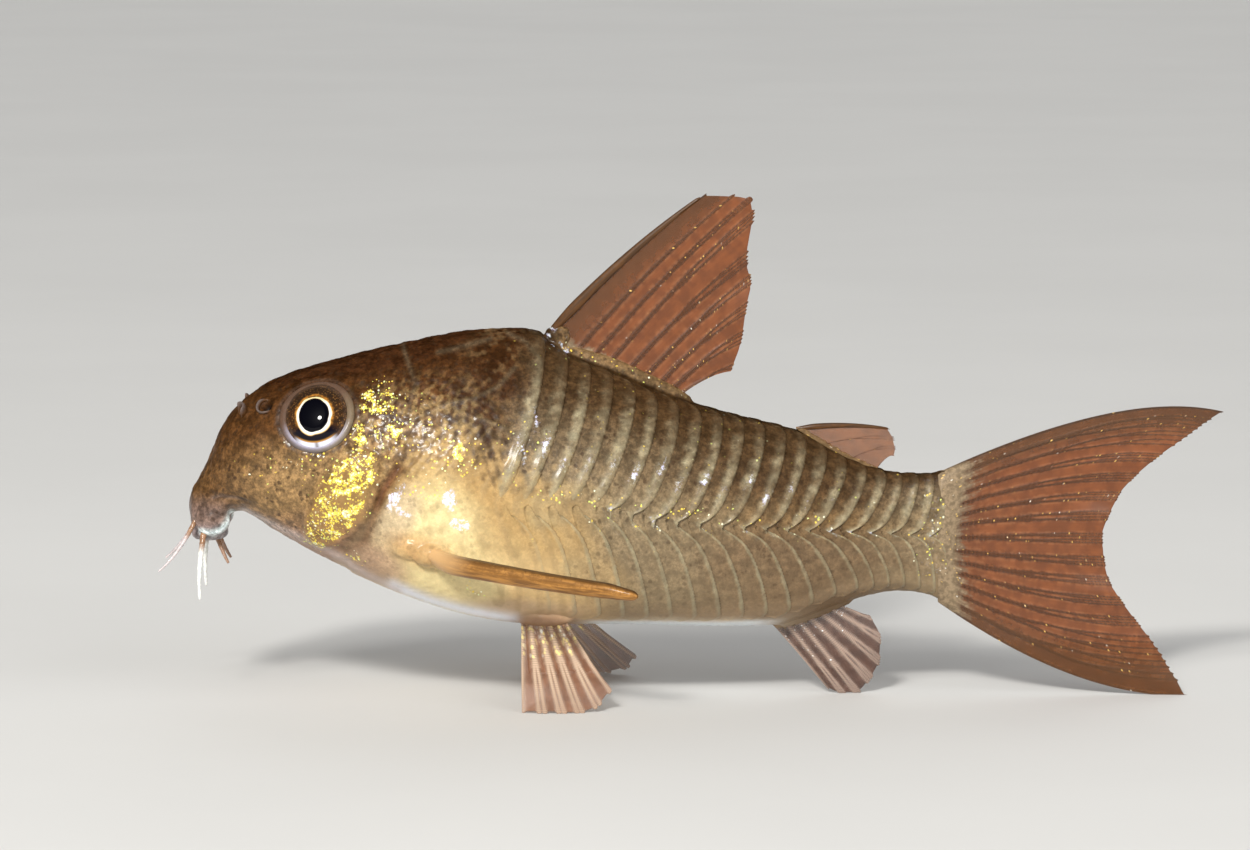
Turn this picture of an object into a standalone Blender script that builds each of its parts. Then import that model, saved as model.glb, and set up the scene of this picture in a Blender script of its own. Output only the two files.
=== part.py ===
"""A corydoras catfish at life size, resting on its fins.

The fish lies along X with its snout towards -X and its left side towards -Y.
Outlines are in percent of the standard length, the way fish are measured:
a station is the distance behind the snout tip, and a height is above the floor.
"""

import math

import bmesh
import bpy
import numpy as np

# Driving sizes, in metres
STANDARD_LENGTH = 0.0511  # snout tip to the end of the tail's flesh
CLEARANCE = 0.0003  # between pieces that touch
THINNEST_FIN = 0.0005
MERGE_DISTANCE = 0.00002
BARBEL_THICKNESS = 0.00056

# The same in percent of the standard length
PERCENT = STANDARD_LENGTH / 100
GAP = CLEARANCE / PERCENT
RING_GAP = 1.5 * GAP  # along the body, where rings lean
SOCKET_GAP = 1.1 * GAP
MEMBRANE = THINNEST_FIN / PERCENT / 2

# The box of the whole fish is centred on the origin
FRONT_STATION = -3.9  # tip of the forward barbels
REAR_STATION = 137.9  # tip of the tail fin's upper lobe
MIDDLE_STATION = (FRONT_STATION + REAR_STATION) / 2

# Outlines of the body: station and height, width or exponent
SNOUT_CAP = 0.9
SNOUT_TIP_HEIGHT = 25.0
BACK = [(0.9, 28.3), (2.9, 32.3), (4.3, 35.8), (6.9, 39.1), (11.6, 42.3), (18.9, 44.7), (28.2, 47.0),
        (38.8, 48.9), (44.1, 49.1), (46.3, 48.7), (48.6, 46.9), (51.5, 45.3), (56.1, 43.6), (61.4, 41.3),
        (66.8, 39.2), (72.1, 37.6), (77.4, 36.3), (81.4, 35.1), (84.0, 33.6), (87.4, 31.8), (90.7, 30.5),
        (94.7, 29.6), (101.5, 29.5)]
BELLY = [(0.9, 21.8), (2.9, 21.4), (4.3, 22.2), (5.9, 24.6), (7.0, 24.7), (11.6, 22.1), (18.9, 18.2),
         (28.2, 14.1), (38.8, 10.7), (44.1, 9.9), (61.4, 9.6), (72.1, 9.2), (77.9, 9.3), (81.4, 10.2),
         (87.4, 12.4), (94.7, 13.8), (98.0, 13.5), (101.5, 12.8)]
LATERAL_LINE = [(0.9, 24.7), (3.6, 25.9), (6.5, 29.5), (10.0, 30.2), (14.9, 29.2), (22.9, 27.6),
                (28.2, 27.0), (52.8, 26.9), (63.0, 25.0), (79.4, 23.2), (94.7, 22.0), (101.5, 21.4)]
HALF_WIDTH = [(0.9, 3.5), (2.0, 4.4), (3.6, 5.5), (5.6, 7.0), (8.9, 8.8), (14.9, 10.9), (22.9, 12.7),
              (33.5, 14.1), (38.8, 14.4), (44.1, 14.2), (51.5, 13.7), (61.4, 12.2), (72.1, 9.9),
              (81.4, 7.2), (88.0, 5.1), (94.7, 3.4), (101.5, 1.9)]
ROOF_POWER = [(0.0, 2.2), (18.0, 2.1), (35.0, 1.8), (46.0, 1.6), (70.0, 1.7), (101.5, 2.0)]
KEEL_POWER = [(0.0, 2.1), (12.0, 2.3), (30.0, 2.8), (55.0, 2.8), (78.0, 2.2), (101.5, 2.0)]

# The edge where the gill cover and nape end: stations on the back, the flank and the throat
GILL_EDGE = (37.5, 24.9, 19.5)
HEAD_RINGS = (0.004, 0.013, 0.03, 0.055, 0.09, 0.13, 0.18, 0.24, 0.31, 0.38, 0.45, 0.53, 0.61, 0.7,
              0.8, 0.9, 1.0)
HEAD_COLUMNS = 14
NECK_SHARES = (0, 0.25, 0.5, 0.75, 1)  # of the way from there to the first plate

# The two rows of plates on each flank, which meet at the lateral line
PLATES = 21
FIRST_PLATE = 38.6
LAST_PLATE_END = 98.2
PLATE_SHRINK = 0.82  # last pitch over first pitch
TORSO_PLATES = 12
TAIL_END = 100.6
PLATE_RISE = 0.42
PLATE_LIP = 0.25
PLATE_MIDDLE = 0.5
MIDDLE_RISE = 0.7 * PLATE_RISE
FIRST_TAIL_RISE = 0.35 * PLATE_RISE
ROOF_BEND = 1.2
KEEL_BEND = 0.75
UPPER_LEAN = [(38.6, 5.6), (70.0, 4.2), (90.0, 3.2), (98.2, 1.4), (100.6, 0.0)]
LOWER_LEAN = [(38.6, 3.2), (60.0, 3.6), (84.0, 5.2), (98.2, 1.6), (100.6, 0.0)]
LOWER_ROW_STARTS = (42.0, 56.0)
PLATE_COLUMNS = (0, 13, 27, 41, 55, 69, 82, 90, 98, 111, 125, 139, 153, 167, 180)
PLATE_SPREAD = [(0, 0.0), (13, 0.55), (27, 1.0), (82, 1.0), (90, 0.1), (98, 1.0), (139, 1.0), (153, 0.5),
                (167, 0.0), (180, 0.0)]

# Head features: station, height and radii
EYE_PLACE = (17.5, 38.45)
EYE_RADIUS = 4.85
EYE_DEPTH = 3.1
EYE_SINK = 1.35
EYE_ROUGHNESS = 0.08
GILL_COVER_PLACE = (20.7, 27.7)
GILL_COVER_RADII = (7.0, 3.7)
GILL_COVER_TILT = math.radians(57)
GILL_COVER_RISE = 0.5
FRONT_NOSTRIL = (7.6, 38.0, 0.7)
REAR_NOSTRIL = (10.4, 39.3, 0.7)
NOSTRIL_LIFT = 0.2
NOSTRIL_FLAP_PLACE = (8.9, 39.3)
NOSTRIL_FLAP_RADII = (0.5, 0.9, 0.9)
NOSTRIL_FLAP_LIFT = 0.3
MUZZLE_PLACE = (2.9, 0.0, 23.5)
MUZZLE_RADII = (2.6, 4.4, 2.1)
LIP_PLACE = (2.7, 0.0, 21.7)
LIP_RADII = (1.7, 3.3)
LIP_ROLL = 0.75
MOUTH_PLACE = (2.6, 0.0, 21.0)
MOUTH_RADII = (0.75, 2.5, 0.95)
CORNER_LOBE_PLACE = (3.3, 4.1, 23.9)
CORNER_LOBE_RADII = (2.4, 1.5, 2.2)

FORWARD_BARBEL_WAY = (-0.93, 0.1, -0.36)
FORWARD_BARBEL_TIP = (-3.75, 6.4, 17.3)
DOWN_BARBEL_WAY = (-0.45, 0.1, -0.88)
DOWN_BARBEL_TIP = (1.7, 6.4, 13.5)
CHIN_BARBEL_ROOT = (4.1, 1.8, 20.25)
CHIN_BARBEL_TIP = (5.3, 2.7, 17.9)
FORWARD_BARBEL_BOW = (0.3, 0.2, -0.9)
DOWN_BARBEL_BOW = (-0.5, 0.5, 0)
CHIN_BARBEL_BOW = (0, 0, -0.3)
BARBEL_LIFT = GAP + 0.35
BARBEL_TAPER = 0.6

DORSAL_ROOTS = (47.9, 51.6, 53.8, 56.0, 58.4, 60.6, 62.6, 64.3, 65.8)
DORSAL_TIPS = [(69.1, 67.2), (73.0, 67.2), (75.1, 66.6), (75.4, 64.3), (74.7, 58.6), (75.0, 55.7),
               (74.5, 51.9), (73.8, 47.9), (72.3, 43.2)]
ANAL_ROOTS = (78.3, 79.9, 81.4, 82.9, 84.4, 85.9, 87.3)
ANAL_TIPS = [(85.2, 0.5), (87.2, -0.25), (89.2, -0.2), (91.0, 1.6), (92.2, 4.2), (92.3, 7.3), (90.8, 10.4)]
ADIPOSE_ROOTS = (81.7, 85.2, 88.8, 92.0)
ADIPOSE_TIPS = [(93.4, 35.5), (94.0, 34.2), (94.1, 33.0), (93.9, 31.9)]

TAIL_FIN_RAYS = 8  # in each lobe
TAIL_FIN_ROOT = 101.35
UPPER_ROOT_HEIGHTS = (30.4, 21.35)
LOWER_ROOT_HEIGHTS = (11.2, 20.65)
UPPER_EDGE = [(137.9, 37.6), (133.5, 34.6), (127.5, 30.2), (123.6, 25.8), (121.9, 21.3)]
LOWER_EDGE = [(133.2, -0.2), (129.5, 5.8), (125.5, 11.2), (122.6, 15.8), (121.8, 20.4)]
UPPER_BOW = (3.0, 6.6)
LOWER_BOW = (-1.0, -5.4)
TAIL_FIN_SWAY = 1.6

PELVIC_ROOT = (44.3, 50.3)
PELVIC_ROOT_ANGLE = math.radians(152)
PELVIC_RAYS = 6
LEFT_PELVIC_TIPS = [(44.5, 16.2, -0.2), (47.2, 16.6, -0.2), (49.8, 16.8, -0.2), (52.2, 16.4, -0.2),
                    (54.6, 15.4, 0.6), (56.4, 13.6, 2.4)]
RIGHT_PELVIC_TIPS = [(44.9, 15.8, -0.2), (48.6, 16.4, -0.2), (52.2, 16.7, -0.2), (55.5, 16.4, -0.2),
                     (58.4, 15.0, 0.8), (59.8, 12.8, 3.0)]

PECTORAL_ROOT = ((30.8, 20.7), (33.6, 19.6))
PECTORAL_TIPS = [(59.8, 27.0, 16.3), (58.4, 25.4, 16.9), (56.6, 23.8, 17.5), (54.4, 22.2, 18.1),
                 (51.8, 20.7, 18.6), (49.0, 19.4, 19.0), (46.0, 18.4, 19.2), (43.0, 17.6, 19.3)]

# How far the rays bow from straight, and how far their roots stand off the skin
DORSAL_BOW = (-0.6, 0.7, 1.6)
DORSAL_BOW_FADE = 0.4
DORSAL_SWAY = 0.6
ADIPOSE_BOW = (0, 0, 0.9)
ANAL_BOW = (0.4, 0, -0.3)
TAIL_BOW_ACROSS = 0.8
TAIL_BOW_LEAN = 0.55
TAIL_BOW_FADE = 1.2
PELVIC_BOW = (0, 1.2, -0.4)
PECTORAL_BOW = (0, 1.4, -0.5)
DORSAL_LIFT = GAP + 0.25
ADIPOSE_LIFT = GAP + 0.15
ANAL_LIFT = GAP + 0.1
PELVIC_LIFT = GAP + 0.1
PECTORAL_LIFT = GAP + 0.7

# Half thickness at the root: of a fin's rays, and of its first ray or spine
DORSAL_RAYS = (0.75, 1.15)
ADIPOSE_RAYS = (0.5, 0.8)
ANAL_RAYS = (0.7, 0.85)
TAIL_FIN_THICKNESS = (0.8, 0.95)
PELVIC_THICKNESS = (0.75, 0.9)
PECTORAL_THICKNESS = (0.7, 1.15)
RAY_TAPER = 0.45
ROOT_SWELL = 0.5
SWELL_REACH = 0.25
EDGE_THINNING = 0.6
SCALLOP = 0.05

FLESH = (0.36, 0.27, 0.18)
BRONZE = (0.42, 0.33, 0.19)
CREAM = (0.78, 0.66, 0.52)
FIN_BROWN = (0.40, 0.24, 0.15)
PECTORAL_BROWN = (0.55, 0.33, 0.14)
EYE_BLACK = (0.02, 0.02, 0.025)
BARBEL_WHITE = (0.85, 0.83, 0.76)


def smooth(points):
    """Return a function that follows the points without overshooting them."""
    at, value = np.array(points, float).T
    step = np.diff(at)
    slope = np.diff(value) / step
    tangent = np.zeros(len(at))
    tangent[0], tangent[-1] = slope[0], slope[-1]
    before, after = slope[:-1], slope[1:]
    same_way = before * after > 0
    tangent[1:-1][same_way] = 2 * before[same_way] * after[same_way] / (before + after)[same_way]

    def follow(x):
        x = np.clip(np.asarray(x, float), at[0], at[-1])
        i = np.clip(np.searchsorted(at, x, side="right") - 1, 0, len(step) - 1)
        t = (x - at[i]) / step[i]
        start = value[i] * (1 + 2 * t) * (1 - t) ** 2 + tangent[i] * step[i] * t * (1 - t) ** 2
        end = value[i + 1] * t**2 * (3 - 2 * t) + tangent[i + 1] * step[i] * t**2 * (t - 1)
        return start + end

    return follow


back, belly, lateral = smooth(BACK), smooth(BELLY), smooth(LATERAL_LINE)
half_width, roof_power, keel_power = smooth(HALF_WIDTH), smooth(ROOF_POWER), smooth(KEEL_POWER)
upper_lean, lower_lean, plate_spread = smooth(UPPER_LEAN), smooth(LOWER_LEAN), smooth(PLATE_SPREAD)


def rise_and_fall(station):
    """Return the heights of back, flank and belly and the half width, closed to a point at the snout."""
    station = np.asarray(station, float)
    ahead = np.clip(1 - station / SNOUT_CAP, 0, 1)
    fullness = np.sqrt(1 - ahead**2)
    heights = [SNOUT_TIP_HEIGHT + (outline(station) - SNOUT_TIP_HEIGHT) * fullness
               for outline in (back, lateral, belly)]
    return (*heights, half_width(station) * fullness)


def body_surface(station, angle):
    """Return points on the body.

    The angle runs from 0 on the back to pi on the belly, and is negative on the left.
    """
    station, angle = np.broadcast_arrays(np.asarray(station, float), np.asarray(angle, float))
    top, flank, bottom, half = rise_and_fall(station)
    up, out = np.cos(angle), np.sin(angle)
    power = np.where(up >= 0, roof_power(station), keel_power(station))
    reach = np.where(up >= 0, top - flank, flank - bottom)
    across = half * np.sign(out) * np.abs(out) ** (2 / power)
    height = flank + reach * np.sign(up) * np.abs(up) ** (2 / power)
    return np.stack([station, across, height], axis=-1)


def outward(station, angle):
    """Return the unit vectors that point out of the body there."""
    along = body_surface(station + 0.1, angle) - body_surface(station - 0.1, angle)
    around = body_surface(station, angle + 0.02) - body_surface(station, angle - 0.02)
    normal = np.cross(along, around)
    return normal / np.linalg.norm(normal, axis=-1, keepdims=True)


def angle_at(station, height):
    """Return the angle at which the body's right flank has that height."""
    top, flank, bottom, _ = rise_and_fall(station)
    above = np.clip((height - flank) / (top - flank), 0, 1) ** (roof_power(station) / 2)
    below = np.clip((flank - height) / (flank - bottom), 0, 1) ** (keel_power(station) / 2)
    return np.arccos(np.where(height >= flank, above, -below))


def skin_point(station, height, side, lift=0.0):
    """Return a point on one flank, side 1 or -1, lifted by that much, and the direction out of it."""
    angle = side * angle_at(station, height)
    way = outward(station, angle)
    return body_surface(station, angle) + lift * way, way


def to_metres(points):
    """Return points given in percent as the model's own, in metres and centred on the origin."""
    return (np.asarray(points, float) - (MIDDLE_STATION, 0, 0)) * PERCENT


def add_mesh(name, points, faces):
    """Make an object from points in percent and its faces, with the faces turned to point out."""
    mesh = bpy.data.meshes.new(name)
    mesh.from_pydata([tuple(p) for p in to_metres(points)], [], faces)
    work = bmesh.new()
    work.from_mesh(mesh)
    bmesh.ops.recalc_face_normals(work, faces=work.faces)
    work.to_mesh(mesh)
    work.free()
    mesh.shade_smooth()
    mesh.set_sharp_from_angle(angle=math.radians(40))
    obj = bpy.data.objects.new(name, mesh)
    bpy.context.scene.collection.objects.link(obj)
    return obj


def paint(obj, colour, roughness=0.35, metallic=0.0):
    """Give the object its own material."""
    material = bpy.data.materials.new(obj.name)
    material.use_nodes = True
    shader = material.node_tree.nodes["Principled BSDF"]
    shader.inputs["Base Color"].default_value = (*colour, 1)
    shader.inputs["Roughness"].default_value = roughness
    shader.inputs["Metallic"].default_value = metallic
    obj.data.materials.clear()
    obj.data.materials.append(material)


def ring_angles(half_angles):
    """Return the angles round the whole body, from those on one side between back and belly."""
    return np.concatenate([half_angles, -half_angles[-2:0:-1]])


def loft(name, rings, half_count):
    """Join rings of equal length into a closed body, each end closed by rungs from flank to flank."""
    count = len(rings[0])
    faces = []
    for i in range(len(rings) - 1):
        for j in range(count):
            k = (j + 1) % count
            faces.append((i * count + j, i * count + k, (i + 1) * count + k, (i + 1) * count + j))
    for first in (0, (len(rings) - 1) * count):
        left = [first] + [first + count - j for j in range(1, half_count)]
        right = [first + j for j in range(half_count)]
        faces.append((left[0], right[1], left[1]))
        for j in range(1, half_count - 2):
            faces.append((left[j], right[j], right[j + 1], left[j + 1]))
        faces.append((left[half_count - 2], right[half_count - 2], first + half_count - 1))
    return add_mesh(name, np.concatenate(rings), faces)


def swept_back(angles, flank, top_lean, bottom_lean):
    """Return the stations of a ring that bends back from the lateral line towards the back and the belly."""
    up = np.cos(angles)
    roof = np.sin(np.clip(up, 0, 1) ** ROOF_BEND * math.pi / 2)
    keel = np.sin(np.clip(-up, 0, 1) ** KEEL_BEND * math.pi / 2)
    return flank + top_lean * roof + bottom_lean * keel


def gill_edge(angles):
    """Return the stations of the ring where the head ends."""
    top, flank, throat = GILL_EDGE
    return swept_back(angles, flank, top - flank, throat - flank)


def plate_edges():
    """Return the stations at which the plates meet on the lateral line, closer towards the tail."""
    pitch = np.linspace(1, PLATE_SHRINK, PLATES)
    share = np.concatenate([[0], np.cumsum(pitch) / pitch.sum()])
    return FIRST_PLATE + (LAST_PLATE_END - FIRST_PLATE) * share


def plate_ring(flank, angles, rise):
    """Return one ring of the plated flanks, lifted off the body by the plates' rise there."""
    stations = swept_back(angles, flank, upper_lean(flank), lower_lean(flank))
    degrees = np.abs(np.degrees(angles))
    lift = rise * plate_spread(degrees)
    starts, full = LOWER_ROW_STARTS
    lift = np.where(degrees > 90, lift * np.clip((flank - starts) / (full - starts), 0, 1), lift)
    return body_surface(stations, angles) + lift[:, None] * outward(stations, angles)


def plated_rings(first, last, angles):
    """Return the rings of the plates from first to before last, each rising to its rear edge."""
    edges = plate_edges()
    rings = []
    for k in range(first, last):
        pitch = edges[k + 1] - edges[k]
        rings.append(plate_ring(edges[k] + PLATE_LIP, angles, 0))
        rings.append(plate_ring(edges[k] + PLATE_MIDDLE * pitch, angles, MIDDLE_RISE))
        rings.append(plate_ring(edges[k + 1], angles, PLATE_RISE))
    return rings


def make_torso():
    """Make the trunk from the gill opening to the vent, with its two rows of plates."""
    angles = ring_angles(np.radians(PLATE_COLUMNS))
    start = gill_edge(angles) + RING_GAP
    first = plate_edges()[0]
    plated = swept_back(angles, first, upper_lean(first), lower_lean(first))
    rings = [body_surface(start + (plated - start) * share, angles) for share in NECK_SHARES]
    rings += plated_rings(0, TORSO_PLATES, angles)
    torso = loft("torso", rings, len(PLATE_COLUMNS))
    paint(torso, FLESH)


def make_tail():
    """Make the tail's flesh from the vent to the root of the tail fin."""
    angles = ring_angles(np.radians(PLATE_COLUMNS))
    edge = plate_edges()[TORSO_PLATES]
    rings = [plate_ring(edge + RING_GAP, angles, FIRST_TAIL_RISE)]
    rings += plated_rings(TORSO_PLATES, PLATES, angles)[1:]
    rings.append(plate_ring(LAST_PLATE_END + PLATE_LIP, angles, 0))
    rings.append(body_surface(np.full(len(angles), TAIL_END), angles))
    tail = loft("tail", rings, len(PLATE_COLUMNS))
    paint(tail, FLESH)


def ellipsoid(name, centre, radii, axes=None, segments=14, rows=8):
    """Make an ellipsoid. Its axes are the columns of a 3 by 3 matrix, or the model's own."""
    work = bmesh.new()
    bmesh.ops.create_uvsphere(work, u_segments=segments, v_segments=rows, radius=1)
    points = np.array([v.co for v in work.verts]) * radii
    faces = [[v.index for v in face.verts] for face in work.faces]
    work.free()
    if axes is not None:
        points = points @ np.asarray(axes).T
    return add_mesh(name, points + np.asarray(centre), faces)


def axes_of(way):
    """Return three axes as columns: along the body, up the surface, and out of it."""
    along = np.array([1.0, 0, 0]) - way[0] * way
    along /= np.linalg.norm(along)
    return np.stack([along, np.cross(way, along), way], axis=1)


def apply_boolean(obj, others, operation):
    """Join the other objects to this one, or cut them from it, and remove them."""
    group = bpy.data.collections.new(obj.name + "_pieces")
    for other in others:
        bpy.context.scene.collection.objects.unlink(other)
        group.objects.link(other)
    bpy.context.scene.collection.children.link(group)
    modifier = obj.modifiers.new(operation, "BOOLEAN")
    modifier.operand_type = "COLLECTION"
    modifier.collection = group
    modifier.operation = operation
    modifier.solver = "EXACT"
    evaluated = obj.evaluated_get(bpy.context.evaluated_depsgraph_get())
    result = bpy.data.meshes.new_from_object(evaluated)
    obj.modifiers.clear()
    obj.data = result
    for other in others:
        bpy.data.objects.remove(other)
    bpy.data.collections.remove(group)


def keep_largest(obj):
    """Merge points that nearly coincide, and drop every closed surface of the object but the largest."""
    work = bmesh.new()
    work.from_mesh(obj.data)
    bmesh.ops.triangulate(work, faces=work.faces)
    bmesh.ops.remove_doubles(work, verts=work.verts, dist=MERGE_DISTANCE)
    bmesh.ops.dissolve_degenerate(work, edges=work.edges, dist=MERGE_DISTANCE / 2)
    bmesh.ops.holes_fill(work, edges=work.edges, sides=0)
    bmesh.ops.triangulate(work, faces=work.faces)
    unseen = set(work.verts)
    shells = []
    while unseen:
        shell, edge = set(), [unseen.pop()]
        while edge:
            vertex = edge.pop()
            shell.add(vertex)
            near = {e.other_vert(vertex) for e in vertex.link_edges} & unseen
            unseen -= near
            edge.extend(near)
        shells.append(shell)
    shells.sort(key=len)
    bmesh.ops.delete(work, geom=[v for shell in shells[:-1] for v in shell], context="VERTS")
    work.to_mesh(obj.data)
    work.free()


def gill_cover(name, side, sectors=20, root=1.6):
    """Make the cheek's gill cover as an oval plate that is sunk into the head and follows its surface."""
    points, faces = [], []
    layers = [(0.001, GILL_COVER_RISE), (0.5, GILL_COVER_RISE), (0.87, 0.96 * GILL_COVER_RISE),
              (1.0, 0.7 * GILL_COVER_RISE), (0.97, -root)]
    cos_tilt, sin_tilt = math.cos(GILL_COVER_TILT), math.sin(GILL_COVER_TILT)
    for share, lift in layers:
        for k in range(sectors):
            turn = 2 * math.pi * k / sectors
            long_way = GILL_COVER_RADII[0] * share * math.cos(turn)
            short_way = GILL_COVER_RADII[1] * share * math.sin(turn)
            station = GILL_COVER_PLACE[0] + long_way * cos_tilt - short_way * sin_tilt
            height = GILL_COVER_PLACE[1] + long_way * sin_tilt + short_way * cos_tilt
            points.append(skin_point(station, height, side, lift)[0])
    for layer in range(len(layers) - 1):
        for k in range(sectors):
            first, after = layer * sectors + k, layer * sectors + (k + 1) % sectors
            faces.append((first, after, after + sectors, first + sectors))
    faces.append(tuple(range(sectors)))
    faces.append(tuple(range((len(layers) - 1) * sectors, len(layers) * sectors)))
    return add_mesh(name, points, faces)


def lip_ring(around=18, sides=6):
    """Make the ring of the two lips under the snout."""
    points = []
    for i in range(around):
        turn = 2 * math.pi * i / around
        for k in range(sides):
            roll = 2 * math.pi * k / sides
            points.append((LIP_PLACE[0] + (LIP_RADII[0] + LIP_ROLL * math.cos(roll)) * math.cos(turn),
                           (LIP_RADII[1] + LIP_ROLL * math.cos(roll)) * math.sin(turn),
                           LIP_PLACE[2] + LIP_ROLL * math.sin(roll)))
    faces = [(i * sides + k, i * sides + (k + 1) % sides,
              (i + 1) % around * sides + (k + 1) % sides, (i + 1) % around * sides + k)
             for i in range(around) for k in range(sides)]
    return add_mesh("lips", points, faces)


def eye_frame(side):
    """Return the eye's centre and axes on that side. The last axis looks out of the head."""
    place, way = skin_point(*EYE_PLACE, side)
    return place - EYE_SINK * way, axes_of(way)


def make_head():
    """Make the head with its gill covers, lips, mouth corners, nostrils and eye sockets."""
    half = np.linspace(0, math.pi, HEAD_COLUMNS + 1)
    angles = ring_angles(half)
    rings = [body_surface(gill_edge(angles) * share, angles) for share in HEAD_RINGS]
    head = loft("head", rings, len(half))
    added = [lip_ring(), ellipsoid("muzzle", MUZZLE_PLACE, MUZZLE_RADII, segments=18)]
    cut = [ellipsoid("mouth", MOUTH_PLACE, MOUTH_RADII)]
    for side in (-1, 1):
        tag = str(side)
        added.append(gill_cover("cover" + tag, side))
        station, across, height = CORNER_LOBE_PLACE
        added.append(ellipsoid("lobe" + tag, (station, side * across, height), CORNER_LOBE_RADII))
        place, way = skin_point(*NOSTRIL_FLAP_PLACE, side)
        place += NOSTRIL_FLAP_LIFT * way
        added.append(ellipsoid("flap" + tag, place, NOSTRIL_FLAP_RADII, axes_of(way), 10, 6))
        centre, axes = eye_frame(side)
        socket = np.array((EYE_RADIUS, EYE_RADIUS, EYE_DEPTH)) + SOCKET_GAP
        cut.append(ellipsoid("socket" + tag, centre, socket, axes, 24, 12))
        for station, height, radius in (FRONT_NOSTRIL, REAR_NOSTRIL):
            place, way = skin_point(station, height, side, NOSTRIL_LIFT)
            cut.append(ellipsoid("nostril" + tag, place, (radius, radius, radius), axes_of(way), 10, 6))
    apply_boolean(head, added, "UNION")
    apply_boolean(head, cut, "DIFFERENCE")
    keep_largest(head)
    paint(head, FLESH)


def make_eyes():
    """Make the two eyeballs, flattened along the way they look."""
    for side, name in ((-1, "eye_left"), (1, "eye_right")):
        centre, axes = eye_frame(side)
        eye = ellipsoid(name, centre, (EYE_RADIUS, EYE_RADIUS, EYE_DEPTH), axes, 20, 10)
        paint(eye, EYE_BLACK, EYE_ROUGHNESS)


def ray(root, tip, bow=(0, 0, 0), lean=0.5, rows=7):
    """Return points along a fin ray from root to tip. The bow bends it, most at the share that lean gives."""
    root, tip = np.asarray(root, float), np.asarray(tip, float)
    handle = root + lean * (tip - root) + np.asarray(bow, float)
    t = np.linspace(0, 1, rows)[:, None]
    return root * (1 - t) ** 2 + 2 * handle * t * (1 - t) + tip * t**2


def fin(name, rays, thickness, first_thickness, colour):
    """Make a fin: each ray is a ridge on a membrane, whose edge is scalloped between the tips.

    The thickness is a ridge's half thickness at its root. The first ray's is its own, as a spine is stouter.
    """
    rows = len(rays[0])
    along = np.linspace(0, 1, rows)
    columns, halves = [], []
    for i, line in enumerate(rays):
        crest = thickness if i else first_thickness
        columns.append(line)
        halves.append(np.maximum(MEMBRANE, crest * (1 - RAY_TAPER * along)))
        if i == len(rays) - 1:
            continue
        shares = np.minimum(along, 1 - SCALLOP * along**3) * (rows - 1)
        low = np.minimum(shares.astype(int), rows - 2)
        part = (shares - low)[:, None]
        for share in (0.25, 0.75):
            sheet = line * (1 - share) + rays[i + 1] * share
            columns.append(sheet[low] * (1 - part) + sheet[low + 1] * part)
            swell = ROOT_SWELL * np.clip(1 - along / SWELL_REACH, 0, 1)
            halves.append(MEMBRANE + swell * (thickness - MEMBRANE))
    grid = np.array(columns)
    half = np.array(halves)
    half[:, -1] *= EDGE_THINNING
    across = np.gradient(grid, axis=0)
    down = np.gradient(grid, axis=1)
    normal = np.cross(across, down)
    normal /= np.linalg.norm(normal, axis=-1, keepdims=True)
    shift = normal * half[:, :, None]
    count = len(columns)
    points = np.concatenate([(grid + shift).reshape(-1, 3), (grid - shift).reshape(-1, 3)])
    points[:, 2] = np.maximum(points[:, 2], 0)
    other = count * rows
    faces = []
    for c in range(count - 1):
        for r in range(rows - 1):
            a, b = c * rows + r, (c + 1) * rows + r
            for corner in ((a, b, b + 1), (a, b + 1, a + 1)):
                faces.append(corner)
                faces.append(tuple(v + other for v in corner))
    rim = [c * rows for c in range(count)] + [(count - 1) * rows + r for r in range(1, rows)]
    rim += [c * rows + rows - 1 for c in range(count - 2, -1, -1)] + list(range(rows - 2, 0, -1))
    for a, b in zip(rim, rim[1:] + rim[:1]):
        faces.append((a, b, b + other))
        faces.append((a, b + other, a + other))
    made = add_mesh(name, points, faces)
    paint(made, colour, 0.3)


def make_dorsal_fin():
    """Make the tall fin on the back: a spine and eight rays that fan backwards."""
    rays = []
    for i, (root, tip) in enumerate(zip(DORSAL_ROOTS, DORSAL_TIPS)):
        share = i / (len(DORSAL_ROOTS) - 1)
        start = (root, 0, back(root) + DORSAL_LIFT)
        ahead, across, up = DORSAL_BOW
        bow = (ahead * (1 - share), across * math.sin(math.pi * share), up - DORSAL_BOW_FADE * share)
        rays.append(ray(start, (tip[0], DORSAL_SWAY * share, tip[1]), bow))
    fin("dorsal_fin", rays, *DORSAL_RAYS, FIN_BROWN)


def make_adipose_fin():
    """Make the small fin behind it: a spine with a short membrane."""
    rays = []
    for root, tip in zip(ADIPOSE_ROOTS, ADIPOSE_TIPS):
        start = (root, 0, back(root) + ADIPOSE_LIFT)
        rays.append(ray(start, (tip[0], 0, tip[1]), ADIPOSE_BOW, rows=5))
    fin("adipose_fin", rays, *ADIPOSE_RAYS, FIN_BROWN)


def make_anal_fin():
    """Make the fin behind the vent, whose longest rays reach the floor."""
    rays = []
    for root, tip in zip(ANAL_ROOTS, ANAL_TIPS):
        start = (root, 0, belly(root) - ANAL_LIFT)
        rays.append(ray(start, (tip[0], 0, tip[1]), ANAL_BOW, rows=6))
    fin("anal_fin", rays, *ANAL_RAYS, FIN_BROWN)


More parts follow.
